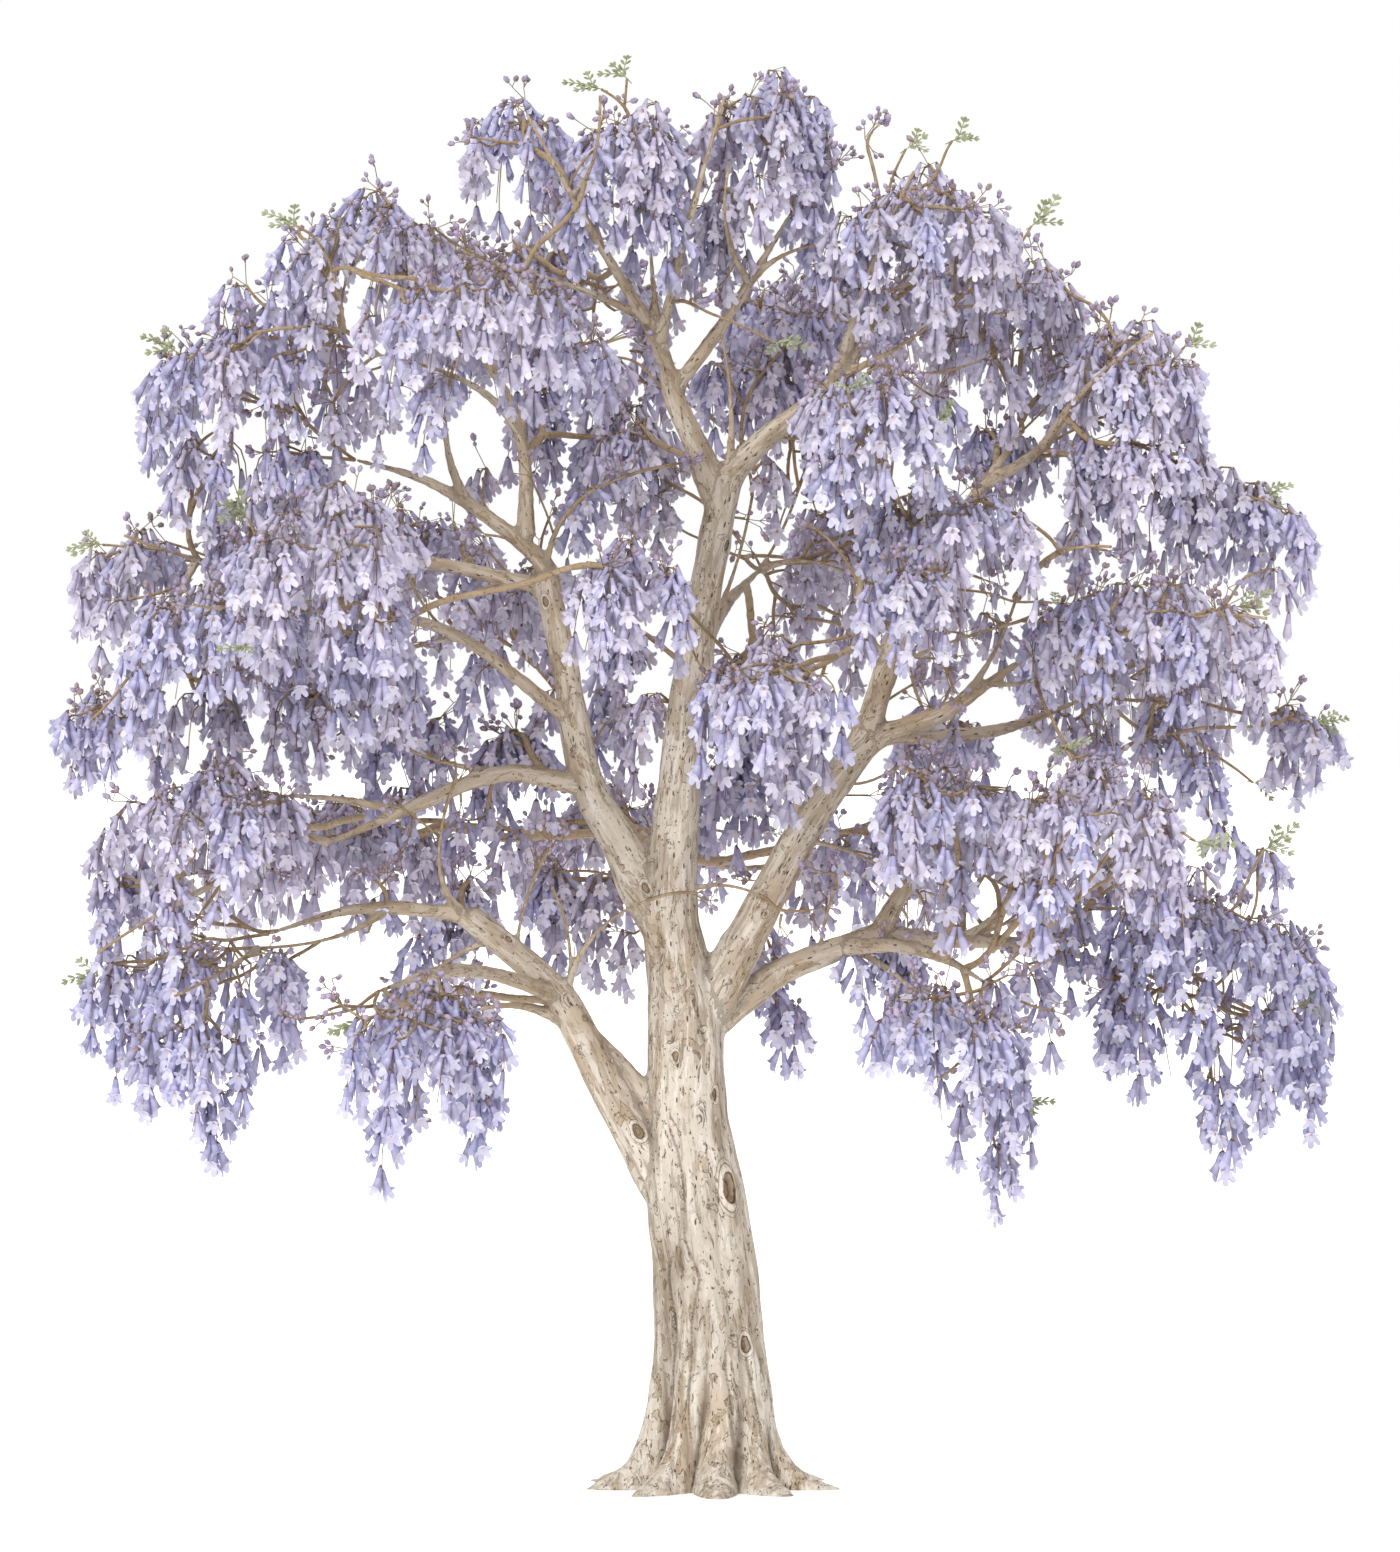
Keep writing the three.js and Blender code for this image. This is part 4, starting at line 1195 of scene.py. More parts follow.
# Young leaves stand at the tips of twigs round the crown: right, back, height.
LEAFY_TIPS = [
    (-0.78, 0.0, 9.78), (-0.60, 0.1, 9.86), (1.34, -0.4, 9.34), (1.66, -0.3, 9.40),
    (2.24, 0.3, 8.84), (3.30, 0.1, 7.98), (3.82, 0.3, 6.98), (3.62, -0.6, 6.16), (4.22, 0.2, 5.36),
    (3.82, -0.6, 4.48), (4.10, 0.3, 3.34), (2.12, -2.2, 2.85), (-2.40, -2.0, 3.36),
    (-4.30, 0.4, 3.60), (-4.28, 0.2, 6.60), (-3.74, -0.1, 7.94), (-2.88, -0.3, 8.80),
    (-3.15, -1.8, 6.75), (1.50, -1.8, 7.40), (2.36, -2.0, 5.22), (0.42, -0.9, 7.98),
    (-2.2, 2.8, 8.2), (0.9, 3.2, 8.4), (-3.2, 2.8, 6.4), (2.5, 3.2, 6.2), (-0.6, 3.6, 6.9),
    (3.4, 2.5, 5.8), (-3.5, 3.0, 4.2), (0.4, 3.6, 4.5), (2.8, 3.2, 4.2), (0.9, -2.8, 7.6),
    (-3.1, -3.2, 5.9), (3.2, -3.0, 4.6), (3.9, 1.9, 4.9), (-4.0, 1.7, 4.0), (3.1, 1.8, 7.6),
    (-3.1, 1.6, 7.9),
]

# Bare twigs that fork in the open between the masses: right, back, height.
OPEN_TIPS = [
    (-2.05, -0.2, 4.80), (-1.76, -0.1, 4.80), (-1.75, -0.3, 3.32), (-0.55, 0.3, 4.05),
    (-2.10, 0.1, 6.30), (-2.20, 0.1, 7.92), (-1.30, 0.0, 7.85), (-0.62, 0.0, 7.10),
    (-0.32, 0.1, 5.38), (-0.75, 0.2, 5.35), (-0.55, 0.1, 6.52), (1.00, 0.2, 6.32),
    (0.70, 0.1, 6.72), (0.22, 0.1, 6.78), (0.30, 0.2, 4.24), (0.12, 0.0, 7.85), (1.50, 0.0, 8.12),
    (1.25, -0.2, 6.92), (1.72, -0.1, 5.98), (2.03, -0.2, 6.05), (1.21, 0.0, 4.40),
    (1.09, 0.1, 4.84), (0.45, -0.2, 4.96), (2.15, 0.0, 4.38), (0.80, 0.2, 4.12),
]


def grow(buds, bud_ways, targets):
    """Grows branches from the buds to every target. Gives for all nodes their places, headings
    and parents, and for each target the node that reached it."""
    places, ways = [*buds], [*bud_ways]
    parents = [-1] * len(buds)
    children = [0] * len(buds)
    best = np.full(len(targets), np.inf)
    chosen = np.zeros(len(targets), dtype=int)
    reached = np.full(len(targets), -1)

    def offer(first):
        """Lets every waiting target compare its branch with the new ones."""
        new_places, new_ways = np.array(places[first:]), np.array(ways[first:])
        waiting = np.flatnonzero(reached < 0)
        away = targets[waiting, None] - new_places[None]
        distance = np.linalg.norm(away, axis=2)
        # Near branches that head for the target and stand below it suit it best.
        facing = (away * new_ways[None]).sum(axis=2) / np.maximum(distance, 1e-6)
        cost = distance * (1.35 - 0.55 * facing) + 0.12 * np.maximum(-away[..., 2], 0.0)
        k = cost.argmin(axis=1)
        lowest = cost[np.arange(len(waiting)), k]
        better = lowest < best[waiting]
        best[waiting[better]] = lowest[better]
        chosen[waiting[better]] = first + k[better]

    offer(0)
    while (reached < 0).any():
        first = len(places)
        for tip in np.unique(chosen[reached < 0]):
            pulling = np.flatnonzero((reached < 0) & (chosen == tip))
            away = targets[pulling] - places[tip]
            distance = np.linalg.norm(away, axis=1)
            nearest = int(distance.argmin())
            # A node that already bears three twigs sends the next straight to its target.
            stuck = children[tip] >= 3
            pull = unit(away[nearest]) if stuck else unit(unit(away).mean(axis=0))
            heading = 0.0 if stuck else KEEP_HEADING
            way = unit(pull + heading * ways[tip] + rng.normal(0, WANDER, 3))
            step = min(GROWTH_STEP, distance[nearest])
            if distance[nearest] < 1.6 * GROWTH_STEP or children[tip] > 5:
                reached[pulling[nearest]] = len(places)
                places.append(targets[pulling[nearest]])
                ways.append(unit(0.5 * ways[tip] + away[nearest] / max(distance[nearest], 1e-6)))
            else:
                places.append(places[tip] + step * way)
                ways.append(way)
            parents.append(int(tip))
            children.append(0)
            children[tip] += 1
        offer(first)
    return np.array(places), np.array(ways), np.array(parents), reached


rng = np.random.default_rng(23)
buds, bud_ways, bud_girths = [], [], []
for name, points, radii in skeleton_parts:
    along = lengths_along(points)
    ways = unit(np.gradient(points, axis=0))
    if name == "trunk":
        start, spacing = TRUNK_FIRST_BUD, TRUNK_BUD_SPACING
    elif name in LIMBS:
        start, spacing = 0.45 + 1.2 * radii[0], BUD_SPACING
    else:
        start, spacing = 0.25, BUD_SPACING
    stops = np.arange(start, along[-1], spacing)
    for stop in np.append(stops + rng.uniform(-0.08, 0.08, len(stops)), along[-1]):
        k = min(int(np.searchsorted(along, stop)), len(points) - 1)
        buds.append(points[k])
        bud_ways.append(ways[k])
        bud_girths.append(radii[k])

# Each limb that ends in the open fans out into a few bare twigs.
leafy_tips = np.array(LEAFY_TIPS)
fan_tips = []
for name, points, radii in skeleton_parts:
    way = unit(points[-1] - points[-4])
    if name in ("trunk", "bough_ridge") or name.startswith("forward") or radii[-1] > 0.075:
        continue
    for _ in range(FAN_TIPS if name in LIMBS else 2):
        turn = unit(way + rng.normal(0, 0.38, 3) * (1, 1, 0.8))
        far = rng.uniform(0.45, 0.95) if name in LIMBS else rng.uniform(0.20, 0.42)
        fan_tips.append(points[-1] + turn * far - UP * rng.uniform(0.0, 0.2 * far))
open_tips = np.vstack([OPEN_TIPS, fan_tips])
targets = np.vstack([[spray.top for spray in sprays], leafy_tips, open_tips])
places, ways, parents, reached = grow(buds, bud_ways, targets)
tip_ways = ways[reached]
for spray, way in zip(sprays, tip_ways):
    spray.arrival = way

# The section of a branch is the sum of those of the twigs that it bears.
square = np.zeros(len(places))
square[reached] += TWIG_RADIUS ** 2
for k in range(len(places) - 1, -1, -1):
    if parents[k] >= 0:
        grown = np.linalg.norm(places[k] - places[parents[k]])
        square[parents[k]] += max(square[k], 0.7 * TWIG_RADIUS ** 2) + 2.0e-5 * grown
twig_radii = np.sqrt(np.maximum(square, (0.8 * TWIG_RADIUS) ** 2))
# No twig is thicker than the one that bears it.
thickest = 0.95 * np.concatenate([bud_girths, np.zeros(len(places) - len(buds))])
for k in range(len(buds), len(places)):
    thickest[k] = twig_radii[k] = min(twig_radii[k], thickest[parents[k]])

# The branches are smoothed, while their buds and tips stay where they are.
is_bud = parents < 0
fixed = is_bud.copy()
fixed[reached] = True
grown_nodes = np.flatnonzero(~is_bud)
bearers = parents[grown_nodes]
for _ in range(2):
    total, count = places.copy(), np.ones(len(places))
    for here, there in ((grown_nodes, bearers), (bearers, grown_nodes)):
        np.add.at(total, here, places[there])
        np.add.at(count, here, 1)
    places = np.where(fixed[:, None], places, total / count[:, None])

# Each chain of nodes follows the stoutest twig onwards; the others start chains of their own.
followers = {}
for k in grown_nodes:
    followers.setdefault(int(parents[k]), []).append(int(k))
chains = []
starts = [(bud, child) for bud in np.flatnonzero(is_bud) for child in followers.get(int(bud), [])]
while starts:
    root, k = starts.pop()
    chain = [root, k]
    while followers.get(k):
        onward = sorted(followers[k], key=lambda child: -square[child])
        starts += [(k, child) for child in onward[1:]]
        k = onward[0]
        chain.append(k)
    chains.append(chain)

twig_parts, twig_girths = [], []
for chain in chains:
    line = places[chain]
    radii = twig_radii[chain].copy()
    radii[0] = 1.15 * radii[1]
    if len(chain) < 4:
        line = np.vstack([line[0], 0.5 * (line[0] + line[1]), line[1:]])
        radii = np.concatenate([radii[:1], radii])
    line, radii, _ = resampled(line, radii, 0.05 if radii[0] > 0.012 else 0.08)
    radii = radii * (1 + 0.08 * np.sin(np.arange(len(radii)) * 2.4 + len(twig_parts)))
    sides = 8 if radii[0] > 0.018 else 5 if radii[0] > 0.011 else 3
    twig_parts.append(tube(line, radii, sides))
    twig_girths.append(np.full(len(twig_parts[-1][0]), radii.mean()))

# A core in each side branch carries on to its tip, where the bark skin is thinnest.
for name, points, radii in skeleton_parts:
    if name not in LIMBS and name != "bough_ridge":
        twig_parts.append(tube(points, CORE_SHARE * radii, CORE_SIDES))
        twig_girths.append(np.full(len(twig_parts[-1][0]), radii.mean()))

twigs = new_piece("branches_and_twigs", *joined(twig_parts), [])
write_attribute(twigs.data, "girth", "FLOAT", np.concatenate(twig_girths))

twig_material, tree, shader = new_material("twig_bark", 0.8, 0.2)
girth_at = stored(tree, "girth")
place_at = add_node(tree, "ShaderNodeTexCoord", output="Object")
blotches = noise(place_at, 9.0, 4.0, 0.6)
knobs = noise(place_at, 34.0, 3.0, 0.6)
colour = blend(tree, girth_at.ramp(0.006, 0.030), paint(150, 126, 97), paint(172, 150, 121))
colour = layered(tree, colour, [
    (blotches.ramp(0.45, 0.65) * 0.5, (188, 170, 143)),
    (knobs.ramp(0.56, 0.66) * 0.7, (100, 80, 61)),
])
feed(shader, "Base Color", colour)
feed(shader, "Normal", bump(tree, knobs, 0.5, 0.004))
twigs.data.materials.append(twig_material)
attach(twigs, "root")


# ---- Blossom --------------------------------------------------------------------------
# Bell flowers hang in tiers round every spray: a narrow curved tube from a small brown cup,
# two short lobes turned up outside, three longer ones below, and a pale throat. The sprays
# differ from violet blue to grey lilac, and each spray is of one tint.

TIER_STEP = 0.145
FLOWER_SPACING = 0.185
FIRST_FLOWER = 0.10
SPRAY_ARCH = 0.20
SPLAY = ([0.0, 0.3, 1.0], [1.0, 0.42, 0.16])
SPRAY_PROFILE = ([0.0, 0.2, 0.42, 0.75, 1.0], [0.40, 0.85, 1.0, 0.66, 0.10])
OPEN_SHARE = 0.86
SEEN_DEPTH = 0.28
BURIED_SHARE = 0.04
SIGHT_LONG = 12.0
AREA_EDGES = [-1.9, 0.1, 1.4, 2.9]
TUBE_DEEP, TUBE, LOBE, CUP, THROAT, NECTAR = range(6)

# Rings of sight lines round the tree: how steeply they look down, and from which sides.
SIGHT_RINGS = [(0.04, range(0, 360, 30)), (0.55, range(20, 360, 72)), (1.4, [0])]

# The tints of the sprays: upper tube, lower tube and lobes of their flowers.
TINT_COLOURS = [
    ((171, 167, 199), (197, 192, 219), (212, 209, 230)),
    ((166, 163, 199), (192, 189, 219), (209, 206, 231)),
    ((181, 174, 200), (204, 197, 217), (217, 211, 228)),
    ((187, 180, 199), (209, 202, 216), (221, 215, 227)),
    ((178, 172, 195), (200, 194, 213), (214, 209, 224)),
    ((163, 161, 198), (190, 188, 219), (206, 204, 231)),
]


def flower_form(opened):
    """A bell flower that hangs from its cup at the origin, its mouth turned towards +X.
    opened: 1 in full flower, less when the lobes are still folded."""
    turns = np.arange(5) * 2 * math.pi / 5

    def ring(radius, shift, height, tilt=0.0):
        return np.column_stack([radius * np.cos(turns) + shift, radius * np.sin(turns),
                                height + tilt * np.cos(turns)])

    corners = [(0.0, 0.0, 0.016), *ring(0.0135, 0.0, -0.004), *ring(0.0205, 0.002, -0.066),
               *ring(0.0315, 0.012, -0.138, 0.022)]
    cup, neck, mouth = 1, 6, 11
    faces, slots = [], []

    def add(slot, *rows):
        faces.extend(rows)
        slots.extend([slot] * len(rows))

    for i in range(5):
        j = (i + 1) % 5
        add(CUP, (0, cup + i, cup + j))
        add(TUBE_DEEP, (cup + i, neck + i, neck + j), (cup + i, neck + j, cup + j))
        add(TUBE, (neck + i, mouth + i, mouth + j), (neck + i, mouth + j, neck + j))
    for i in range(5):
        j = (i + 1) % 5
        first, second = np.array(corners[mouth + i]), np.array(corners[mouth + j])
        turn = turns[i] + math.pi / 5
        upper = math.cos(turn) > 0
        if upper:
            way = unit(np.array([0.60 * math.cos(turn), 1.0 * math.sin(turn), 0.10]))
        else:
            way = unit(np.array([0.15 * math.cos(turn), 0.90 * math.sin(turn), -0.90]))
        folded = np.array([-0.5 * math.cos(turn), -0.5 * math.sin(turn), -1.0])
        way = unit(opened * way + (1 - opened) * folded)
        long = (0.026 if upper else 0.044) * (0.55 + 0.45 * opened)
        side = unit(second - first)
        middle = 0.5 * (first + second)
        count = len(corners)
        if opened > 0.5:
            for share, half in ((0.68, 0.0195), (1.0, 0.0110)):
                edge = middle + share * long * way
                corners += [edge - half * side, edge + half * side]
            add(LOBE, (mouth + i, count, count + 1), (mouth + i, count + 1, mouth + j),
                (count, count + 2, count + 3), (count, count + 3, count + 1))
        else:
            corners.append(middle + long * way)
            add(LOBE, (mouth + i, count, mouth + j))
    if opened > 0.5:
        deep = len(corners)
        corners.append((0.010, 0.0, -0.090))
        for i in range(5):
            j = (i + 1) % 5
            if i == 2:
                corners += [0.5 * (np.array(corners[mouth + k]) + corners[deep]) for k in (i, j)]
                add(THROAT, (mouth + i, mouth + j, deep + 2), (mouth + i, deep + 2, deep + 1))
                add(NECTAR, (deep + 1, deep + 2, deep))
            else:
                add(THROAT, (mouth + i, mouth + j, deep))
    return np.array([tuple(corner) for corner in corners]), np.array(faces), np.array(slots)


def scattered(form, origins, turns, sizes):
    """Copies of a form: corners and faces at each origin, turned and sized."""
    corners, faces = form[:2]
    moved = np.einsum("nij,vj->nvi", turns * sizes[:, None, None], corners) + origins[:, None]
    shift = np.arange(len(origins))[:, None, None] * len(corners)
    return moved.reshape(-1, 3), (faces[None] + shift).reshape(-1, 3)


def hanging_turn(way, outward_way):
    """Turns that lay a form's -Z along a way and its +X outwards."""
    down = unit(way)
    out = unit(outward_way - down * (outward_way * down).sum(axis=-1, keepdims=True))
    return np.stack([out, np.cross(-down, out), -down], axis=-1)


def spray_line(spray, share):
    """Points down the middle of a spray: it arches over from its twig and then hangs."""
    level = unit(0.6 * unit(spray.arrival * (1, 1, 0)) + 0.7 * spray.out)
    arch = spray.top + SPRAY_ARCH * level + 0.05 * UP
    share = np.asarray(share)[:, None]
    return (1 - share) ** 2 * spray.top + 2 * share * (1 - share) * arch + share ** 2 * spray.foot


def mottled(name, low, high, surface, pattern, edges=(0.35, 0.65)):
    """A material that wavers between two colours. surface: its roughness and specular; pattern:
    the scale and detail of its noise; edges: where in the noise each colour is full."""
    material, tree, shader = new_material(name, *surface)
    share = noise(add_node(tree, "ShaderNodeTexCoord", output="Object"), *pattern)
    if edges:
        share = share.ramp(*edges)
    feed(shader, "Base Color", blend(tree, share, paint(*low), paint(*high)))
    return material


def shaded(colour, share):
    """A colour made darker or lighter."""
    return [min(255, round(share * part)) for part in colour]


rng = np.random.default_rng(31)
flowers = []  # base, way, outward, size, number of the spray, share of the way down it
stalk_tops, stalk_feet = [], []
stalk_parts = []
for number, spray in enumerate(sprays):
    length = spray.top[2] - spray.foot[2]
    tiers = max(3, int(length * 0.94 / TIER_STEP))
    phase = rng.uniform(0, 2 * math.pi)
    shares = np.linspace(FIRST_FLOWER, 1.0, 12)
    inside = cleared(spray_line(spray, shares) - (0.0, 0.0, 0.16))
    last = shares[inside.argmax()] if inside.any() else 1.0
    stem = spray_line(spray, np.linspace(0.0, 0.97 * last, 6))
    stalk_parts.append(tube(stem, np.linspace(0.0085, 0.0030, 6), 3))
    for tier in range(tiers):
        share = FIRST_FLOWER + (0.97 - FIRST_FLOWER) * (tier + 0.5) / tiers
        if share > last:
            break
        radius = spray.girth * np.interp(share, *SPRAY_PROFILE)
        count = max(1, round(2 * math.pi * max(radius - 0.02, 0.0) / FLOWER_SPACING))
        axis, axis_above = spray_line(spray, [share, max(share - 0.10, 0.0)])
        for k in range(count):
            turn = phase + 2 * math.pi * (k + 0.5 * (tier % 2) + rng.uniform(-0.16, 0.16)) / count
            radial = np.array([math.cos(turn), math.sin(turn), 0.0])
            base = axis + radial * max(radius - 0.105, 0.012) * rng.uniform(0.85, 1.1)
            base[2] += rng.uniform(-0.035, 0.035)
            splay = np.interp(share, *SPLAY) * rng.uniform(0.5, 1.3) if count > 1 else 0.12
            way = unit(radial * splay - UP + rng.normal(0, 0.07, 3))
            flowers.append((base, way, radial, rng.uniform(0.94, 1.20), number, share))
            stalk_tops.append(axis_above)
            stalk_feet.append(base + way * -0.012)
bases, flower_ways, flower_outs, flower_sizes, owners, flower_shares = (
    np.array(part) for part in zip(*flowers))
flower_tints = np.array([spray.tint for spray in sprays])[owners]

# Flowers deep inside the crown are seen from nowhere, so most of them are left out: a flower
# stays where a sight line from some side reaches it through little blossom.
depth = np.full(len(bases), np.inf)
for steep, turns in SIGHT_RINGS:
    for turn in np.radians(turns):
        level = math.cos(steep)
        sight = unit(np.array([math.sin(turn) * level, -math.cos(turn) * level, math.sin(steep)]))
        start, inward = Vector(SIGHT_LONG * sight), Vector(-sight)
        for k, base in enumerate(bases):
            if depth[k] > SEEN_DEPTH:
                hit = every_mass.ray_cast(Vector(base) + start, inward, SIGHT_LONG)[3]
                depth[k] = min(depth[k], 0.0 if hit is None else SIGHT_LONG - hit)
seen = (depth < SEEN_DEPTH) & ~cleared(bases + (0.0, 0.0, -0.10))
kept = seen | (rng.random(len(bases)) < BURIED_SHARE)
opened = seen & (rng.random(len(bases)) < OPEN_SHARE)

blossom_slots = []
for name, colour, roughness in (("flower_cup", (122, 98, 92), 0.7),
                                ("flower_throat", (224, 220, 232), 0.6),
                                ("flower_nectar", (205, 172, 150), 0.6)):
    blossom_slots.append(mottled(name, shaded(colour, 0.96), colour, (roughness, 0.2),
                                 (40.0, 2.0), edges=None))
for number, colours in enumerate(TINT_COLOURS):
    for part, colour in zip(("upper_tube", "lower_tube", "lobe"), colours):
        blossom_slots.append(mottled(f"{part}_{number}", shaded(colour, 0.94),
                                     shaded(colour, 1.04), (0.62, 0.2), (7.0, 3.0)))


def slots_for(slots, tints):
    """The material numbers of many flowers from the slots of one and their tints."""
    shared = {CUP: 0, THROAT: 1, NECTAR: 2}
    table = np.array([[shared.get(slot, 3 + 3 * tint + slot) for slot in range(6)]
                      for tint in range(len(TINT_COLOURS))])
    return table[tints][:, slots].ravel()


full_form, young_form = flower_form(1.0), flower_form(0.25)
areas = np.digitize(bases[:, 0] + 0.15 * bases[:, 2], AREA_EDGES)
for area, label in enumerate(("far_left", "left", "middle", "right", "far_right")):
    here = kept & (areas == area)
    parts, slots, smooth = [], [], []
    for form, picked in ((full_form, here & opened), (young_form, here & ~opened)):
        turns = hanging_turn(flower_ways[picked], flower_outs[picked])
        parts.append(scattered(form, bases[picked], turns, flower_sizes[picked]))
        slots.append(slots_for(form[2], flower_tints[picked]))
        smooth.append(np.tile(form[2] < LOBE, picked.sum()))
    piece = new_piece(f"blossom_{label}", *joined(parts), blossom_slots,
                      np.concatenate(slots), np.concatenate(smooth))
    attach(piece, "root")
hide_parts(*MASSES)


# ---- Flower stalks --------------------------------------------------------------------
# A thin brown stem runs down the middle of each spray. In its upper half, where they show, each
# flower hangs from it on a stalk of its own.

FLOWER_STALK = 0.0028


def rods(starts, finishes, radius):
    """Three-sided rods between pairs of points, as corners and faces."""
    way = unit(finishes - starts)
    side = unit(np.cross(way, np.array([0.3, 0.2, 1.0])))
    over = np.cross(way, side)
    rings = []
    for ends in (starts, finishes):
        for turn in (0.0, 2 * math.pi / 3, 4 * math.pi / 3):
            rings.append(ends + radius * (math.cos(turn) * side + math.sin(turn) * over))
    corners = np.stack(rings, axis=1)
    faces = np.array([(0, 1, 4), (0, 4, 3), (1, 2, 5), (1, 5, 4), (2, 0, 3), (2, 3, 5)])
    shift = np.arange(len(starts))[:, None, None] * 6
    return corners.reshape(-1, 3), (faces[None] + shift).reshape(-1, 3)


held = seen & (flower_shares < 0.5)
stalk_parts.append(rods(np.array(stalk_tops)[held], np.array(stalk_feet)[held], FLOWER_STALK))
stalk_material = mottled("stalk", (134, 112, 92), (166, 146, 112), (0.75, 0.2), (12.0, 3.0))


# ---- Buds -----------------------------------------------------------------------------
# Round mauve buds stand in small bunches at the top of each spray, where it leaves its twig,
# and along the bare tips.

BUD_LONG = 0.031
BUD_STALK = 0.0038
BROWN_SHARE = 0.35
FEWEST_FLOWERS = 6


def bud_form():
    """A plump bud that points up from its foot at the origin."""
    turns = np.arange(5) * 2 * math.pi / 5
    corners = [(0.0, 0.0, 0.0)]
    for radius, height in ((0.55, 0.55), (0.62, 1.35)):
        corners += [(radius * math.cos(turn), radius * math.sin(turn), height) for turn in turns]
    corners.append((0.0, 0.0, 2.0))
    faces = []
    for i in range(5):
        j = (i + 1) % 5
        faces += [(0, 1 + j, 1 + i), (1 + i, 1 + j, 6 + j),
                  (1 + i, 6 + j, 6 + i), (6 + i, 6 + j, 11)]
    return np.array(corners) * BUD_LONG, np.array(faces)


rng = np.random.default_rng(41)
bud_places, bud_headings = [], []
rod_starts, rod_ends = [], []


def bunch(point, heading, stalks, reach):
    """Forked stalks that fan out from a point, with two or three buds at the end of each."""
    for _ in range(stalks):
        way = unit(heading + rng.normal(0, 0.45, 3))
        fork = point + way * rng.uniform(0.5, 1.0) * reach
        rod_starts.append(point)
        rod_ends.append(fork)
        for _ in range(rng.integers(2, 4)):
            bud_way = unit(way + rng.normal(0, 0.65, 3) + (0.0, 0.0, 0.1))
            end = fork + bud_way * rng.uniform(0.02, 0.055)
            rod_starts.append(fork)
            rod_ends.append(end)
            bud_places.append(end)
            bud_headings.append(bud_way)


shown_flowers = np.bincount(owners[seen], minlength=len(sprays))
for spray, shown in zip(sprays, shown_flowers):
    if shown < FEWEST_FLOWERS or rng.random() < 0.35:
        continue
    point = spray_line(spray, [rng.uniform(0.0, 0.08)])[0]
    bunch(point, unit(spray.arrival * 0.6 + 0.45 * UP), int(rng.integers(1, 4)), 0.19)
for way, tip in zip(tip_ways[len(sprays) + len(leafy_tips):], open_tips):
    bunch(tip, way, 3, 0.14)
bud_places, bud_headings = np.array(bud_places), np.array(bud_headings)
stalk_parts.append(rods(np.array(rod_starts), np.array(rod_ends), BUD_STALK))

sizes = rng.uniform(0.7, 1.15, len(bud_places))
sideways = unit(rng.normal(size=(len(bud_places), 3)))
bud_slots = [
    mottled("bud_mauve", (158, 142, 168), (184, 168, 194), (0.6, 0.3), (25.0, 2.0)),
    mottled("bud_brown", (142, 124, 130), (166, 148, 152), (0.6, 0.3), (25.0, 2.0)),
]
form = bud_form()
corners, faces = scattered(form, bud_places, hanging_turn(-bud_headings, sideways), sizes)
kinds = np.repeat((rng.random(len(bud_places)) < BROWN_SHARE).astype(int), len(form[1]))
flower_buds = new_piece("flower_buds", corners, faces, bud_slots, kinds)
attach(flower_buds, "root")

stalks = new_piece("flower_stalks", *joined(stalk_parts), [stalk_material])
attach(stalks, "root")


# ---- Young leaves ---------------------------------------------------------------------
# A few fern-like leaves, just out, at twig tips round the crown: three or four feathers on one
# stalk, each with small rounded leaflets on both sides.

FEATHER_LONG = 0.155
LEAFLET_PAIRS = 3
LEAF_STALK = 0.004
PALE_SHARE = 0.4

# Where each feather leaves the leaf's stalk, and its turn from the stalk's heading.
FEATHERS = [(0.0, 0.0), (0.05, 0.75), (0.05, -0.75), (0.12, 0.35)]


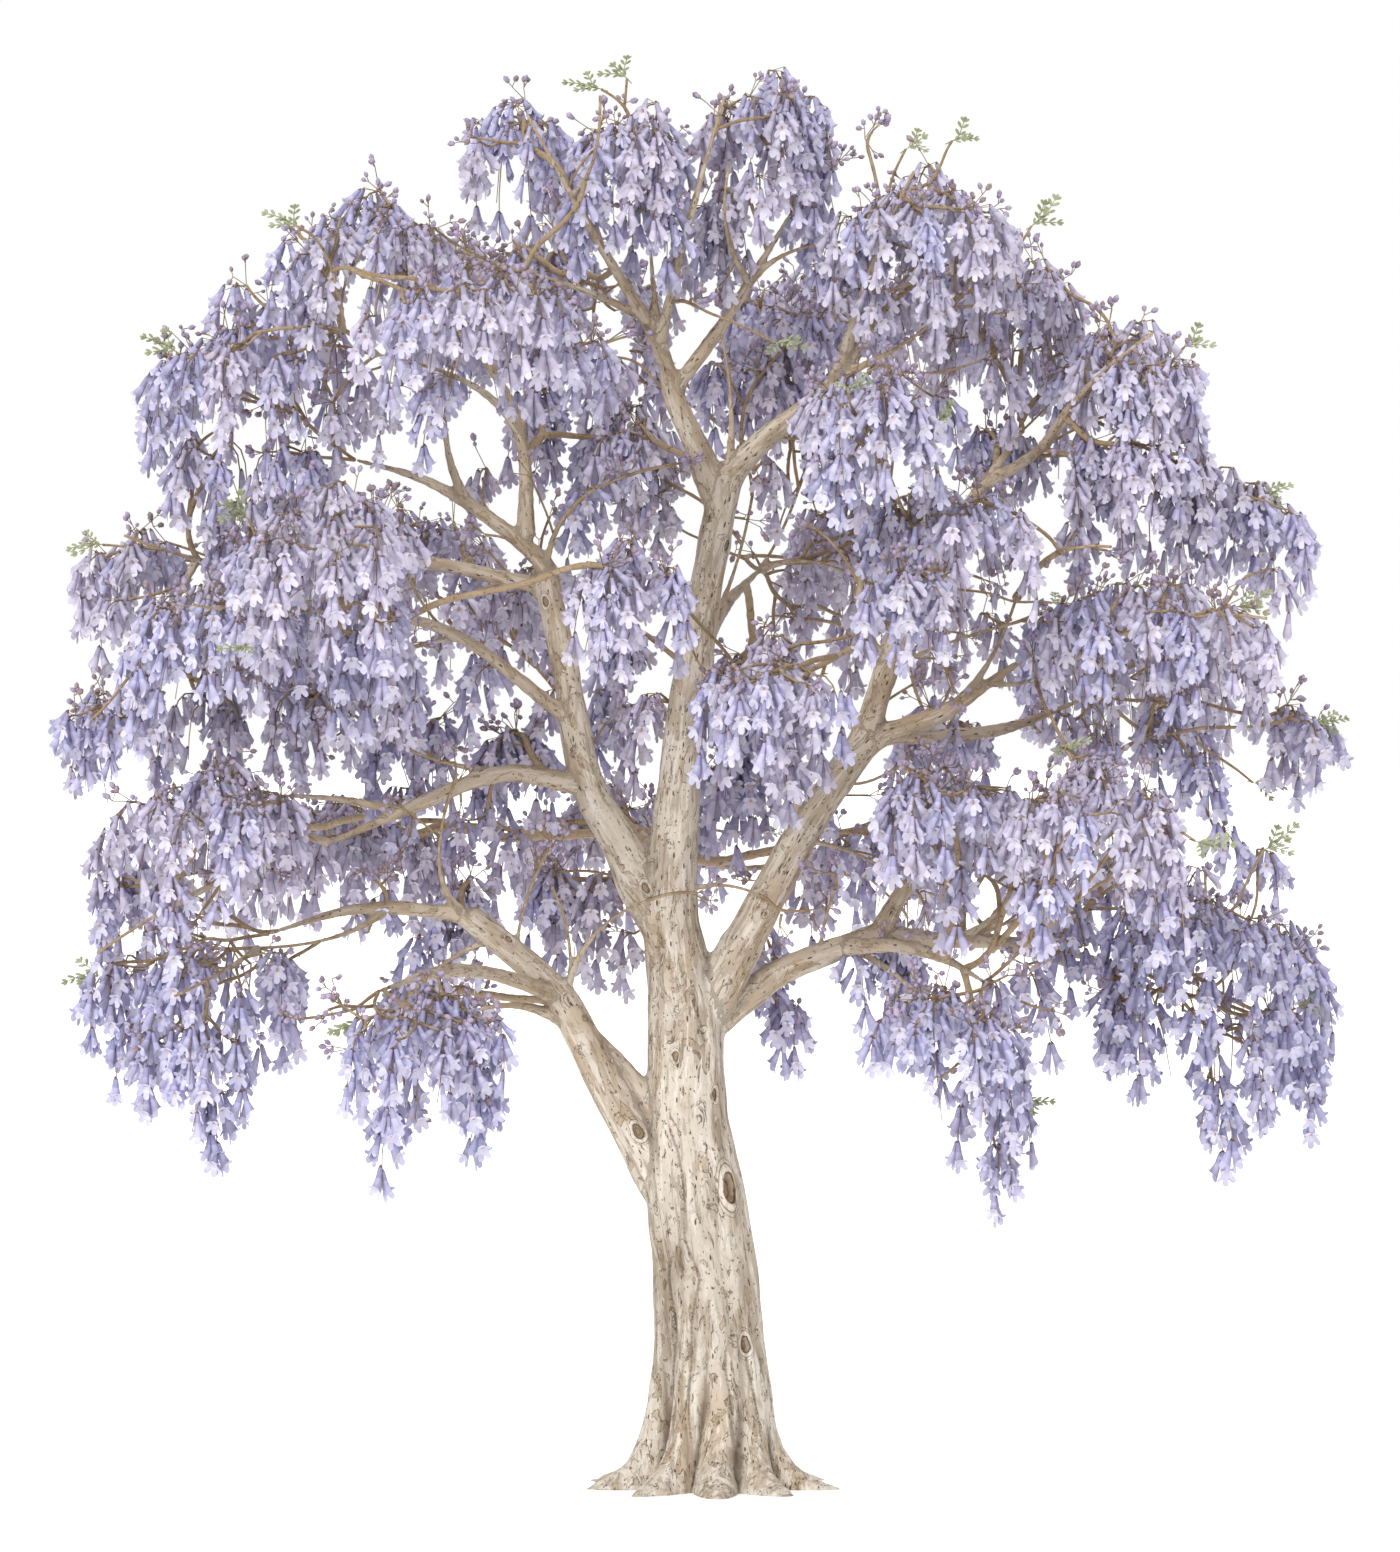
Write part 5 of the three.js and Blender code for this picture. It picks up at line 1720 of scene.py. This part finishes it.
def feather_form():
    """One feather of leaflets along +X, its face up, its foot at the origin."""
    corners, faces = [], []

    def leaflet(foot, way, long, wide):
        count = len(corners)
        side = np.array([-way[1], way[0], 0.0])
        lift = np.array([0.0, 0.0, 0.10 * long])
        corners.extend(foot + along * long * way + half * wide * side - lift
                       for along, half in ((0.0, 0.3), (0.45, 0.95), (0.82, 0.85), (1.0, 0.0),
                                           (0.82, -0.85), (0.45, -0.95), (0.0, -0.3)))
        corners.append(foot + 0.6 * long * way + lift)
        faces.extend([(count + (k + 1) % 7, count + 7, count + k) for k in range(7)])

    for k in range(LEAFLET_PAIRS):
        share = 0.16 + 0.70 * k / (LEAFLET_PAIRS - 1)
        foot = np.array([FEATHER_LONG * share, 0.0, 0.012 * math.sin(math.pi * share)])
        long = FEATHER_LONG * 0.40 * math.sin(math.pi * (0.30 + 0.50 * share))
        for side in (-1, 1):
            leaflet(foot, unit(np.array([0.76, 0.65 * side, 0.0])), long, 0.0115)
    tip = np.array([FEATHER_LONG * 0.84, 0.0, 0.0])
    leaflet(tip, np.array([1.0, 0.0, 0.0]), FEATHER_LONG * 0.34, 0.0125)
    return np.array(corners), np.array(faces)


rng = np.random.default_rng(53)
leaf_places, leaf_turns, rib_starts, rib_ends = [], [], [], []
for tip, way in zip(leafy_tips, tip_ways[len(sprays):len(sprays) + len(leafy_tips)]):
    flat_out = unit(np.array([tip[0], tip[1], 0.0]) + 1e-6)
    heading = unit(0.55 * way + 0.6 * flat_out + (0, 0, 0.1))
    face = unit(np.array([0.15 * flat_out[0], 0.15 * flat_out[1] - 0.75, 0.65]))
    for lift, spread in FEATHERS[:4 if rng.random() < 0.6 else 3]:
        foot = tip + heading * lift
        side_way = unit(np.cross(face, heading))
        out = heading * math.cos(spread) + side_way * math.sin(spread)
        out = unit(out + rng.normal(0, 0.10, 3))
        up = unit(face - out * out.dot(face))
        leaf_places.append(foot)
        leaf_turns.append(np.stack([out, np.cross(up, out), up], axis=-1))
        rib_starts.append(foot)
        rib_ends.append(foot + out * FEATHER_LONG * 0.86)
    rib_starts.append(tip - heading * 0.05)
    rib_ends.append(tip + heading * 0.13)
leaf_slots = [
    mottled("leaf_sage", (138, 144, 106), (160, 165, 128), (0.65, 0.25), (18.0, 3.0)),
    mottled("leaf_pale", (156, 160, 126), (178, 180, 148), (0.65, 0.25), (18.0, 3.0)),
]
form = feather_form()
sizes = rng.uniform(0.85, 1.15, len(leaf_places))
corners, faces = scattered(form, np.array(leaf_places), np.array(leaf_turns), sizes)
kinds = np.repeat((rng.random(len(leaf_places)) < PALE_SHARE).astype(int), len(form[1]))
flat = np.zeros(len(faces), dtype=bool)
leaves = new_piece("young_leaves", corners, faces, leaf_slots, kinds, flat)
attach(leaves, "root")

leaf_rods = rods(np.array(rib_starts), np.array(rib_ends), LEAF_STALK)
ribs = new_piece("leaf_stalks", *leaf_rods, [leaf_slots[0]])
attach(ribs, "root")
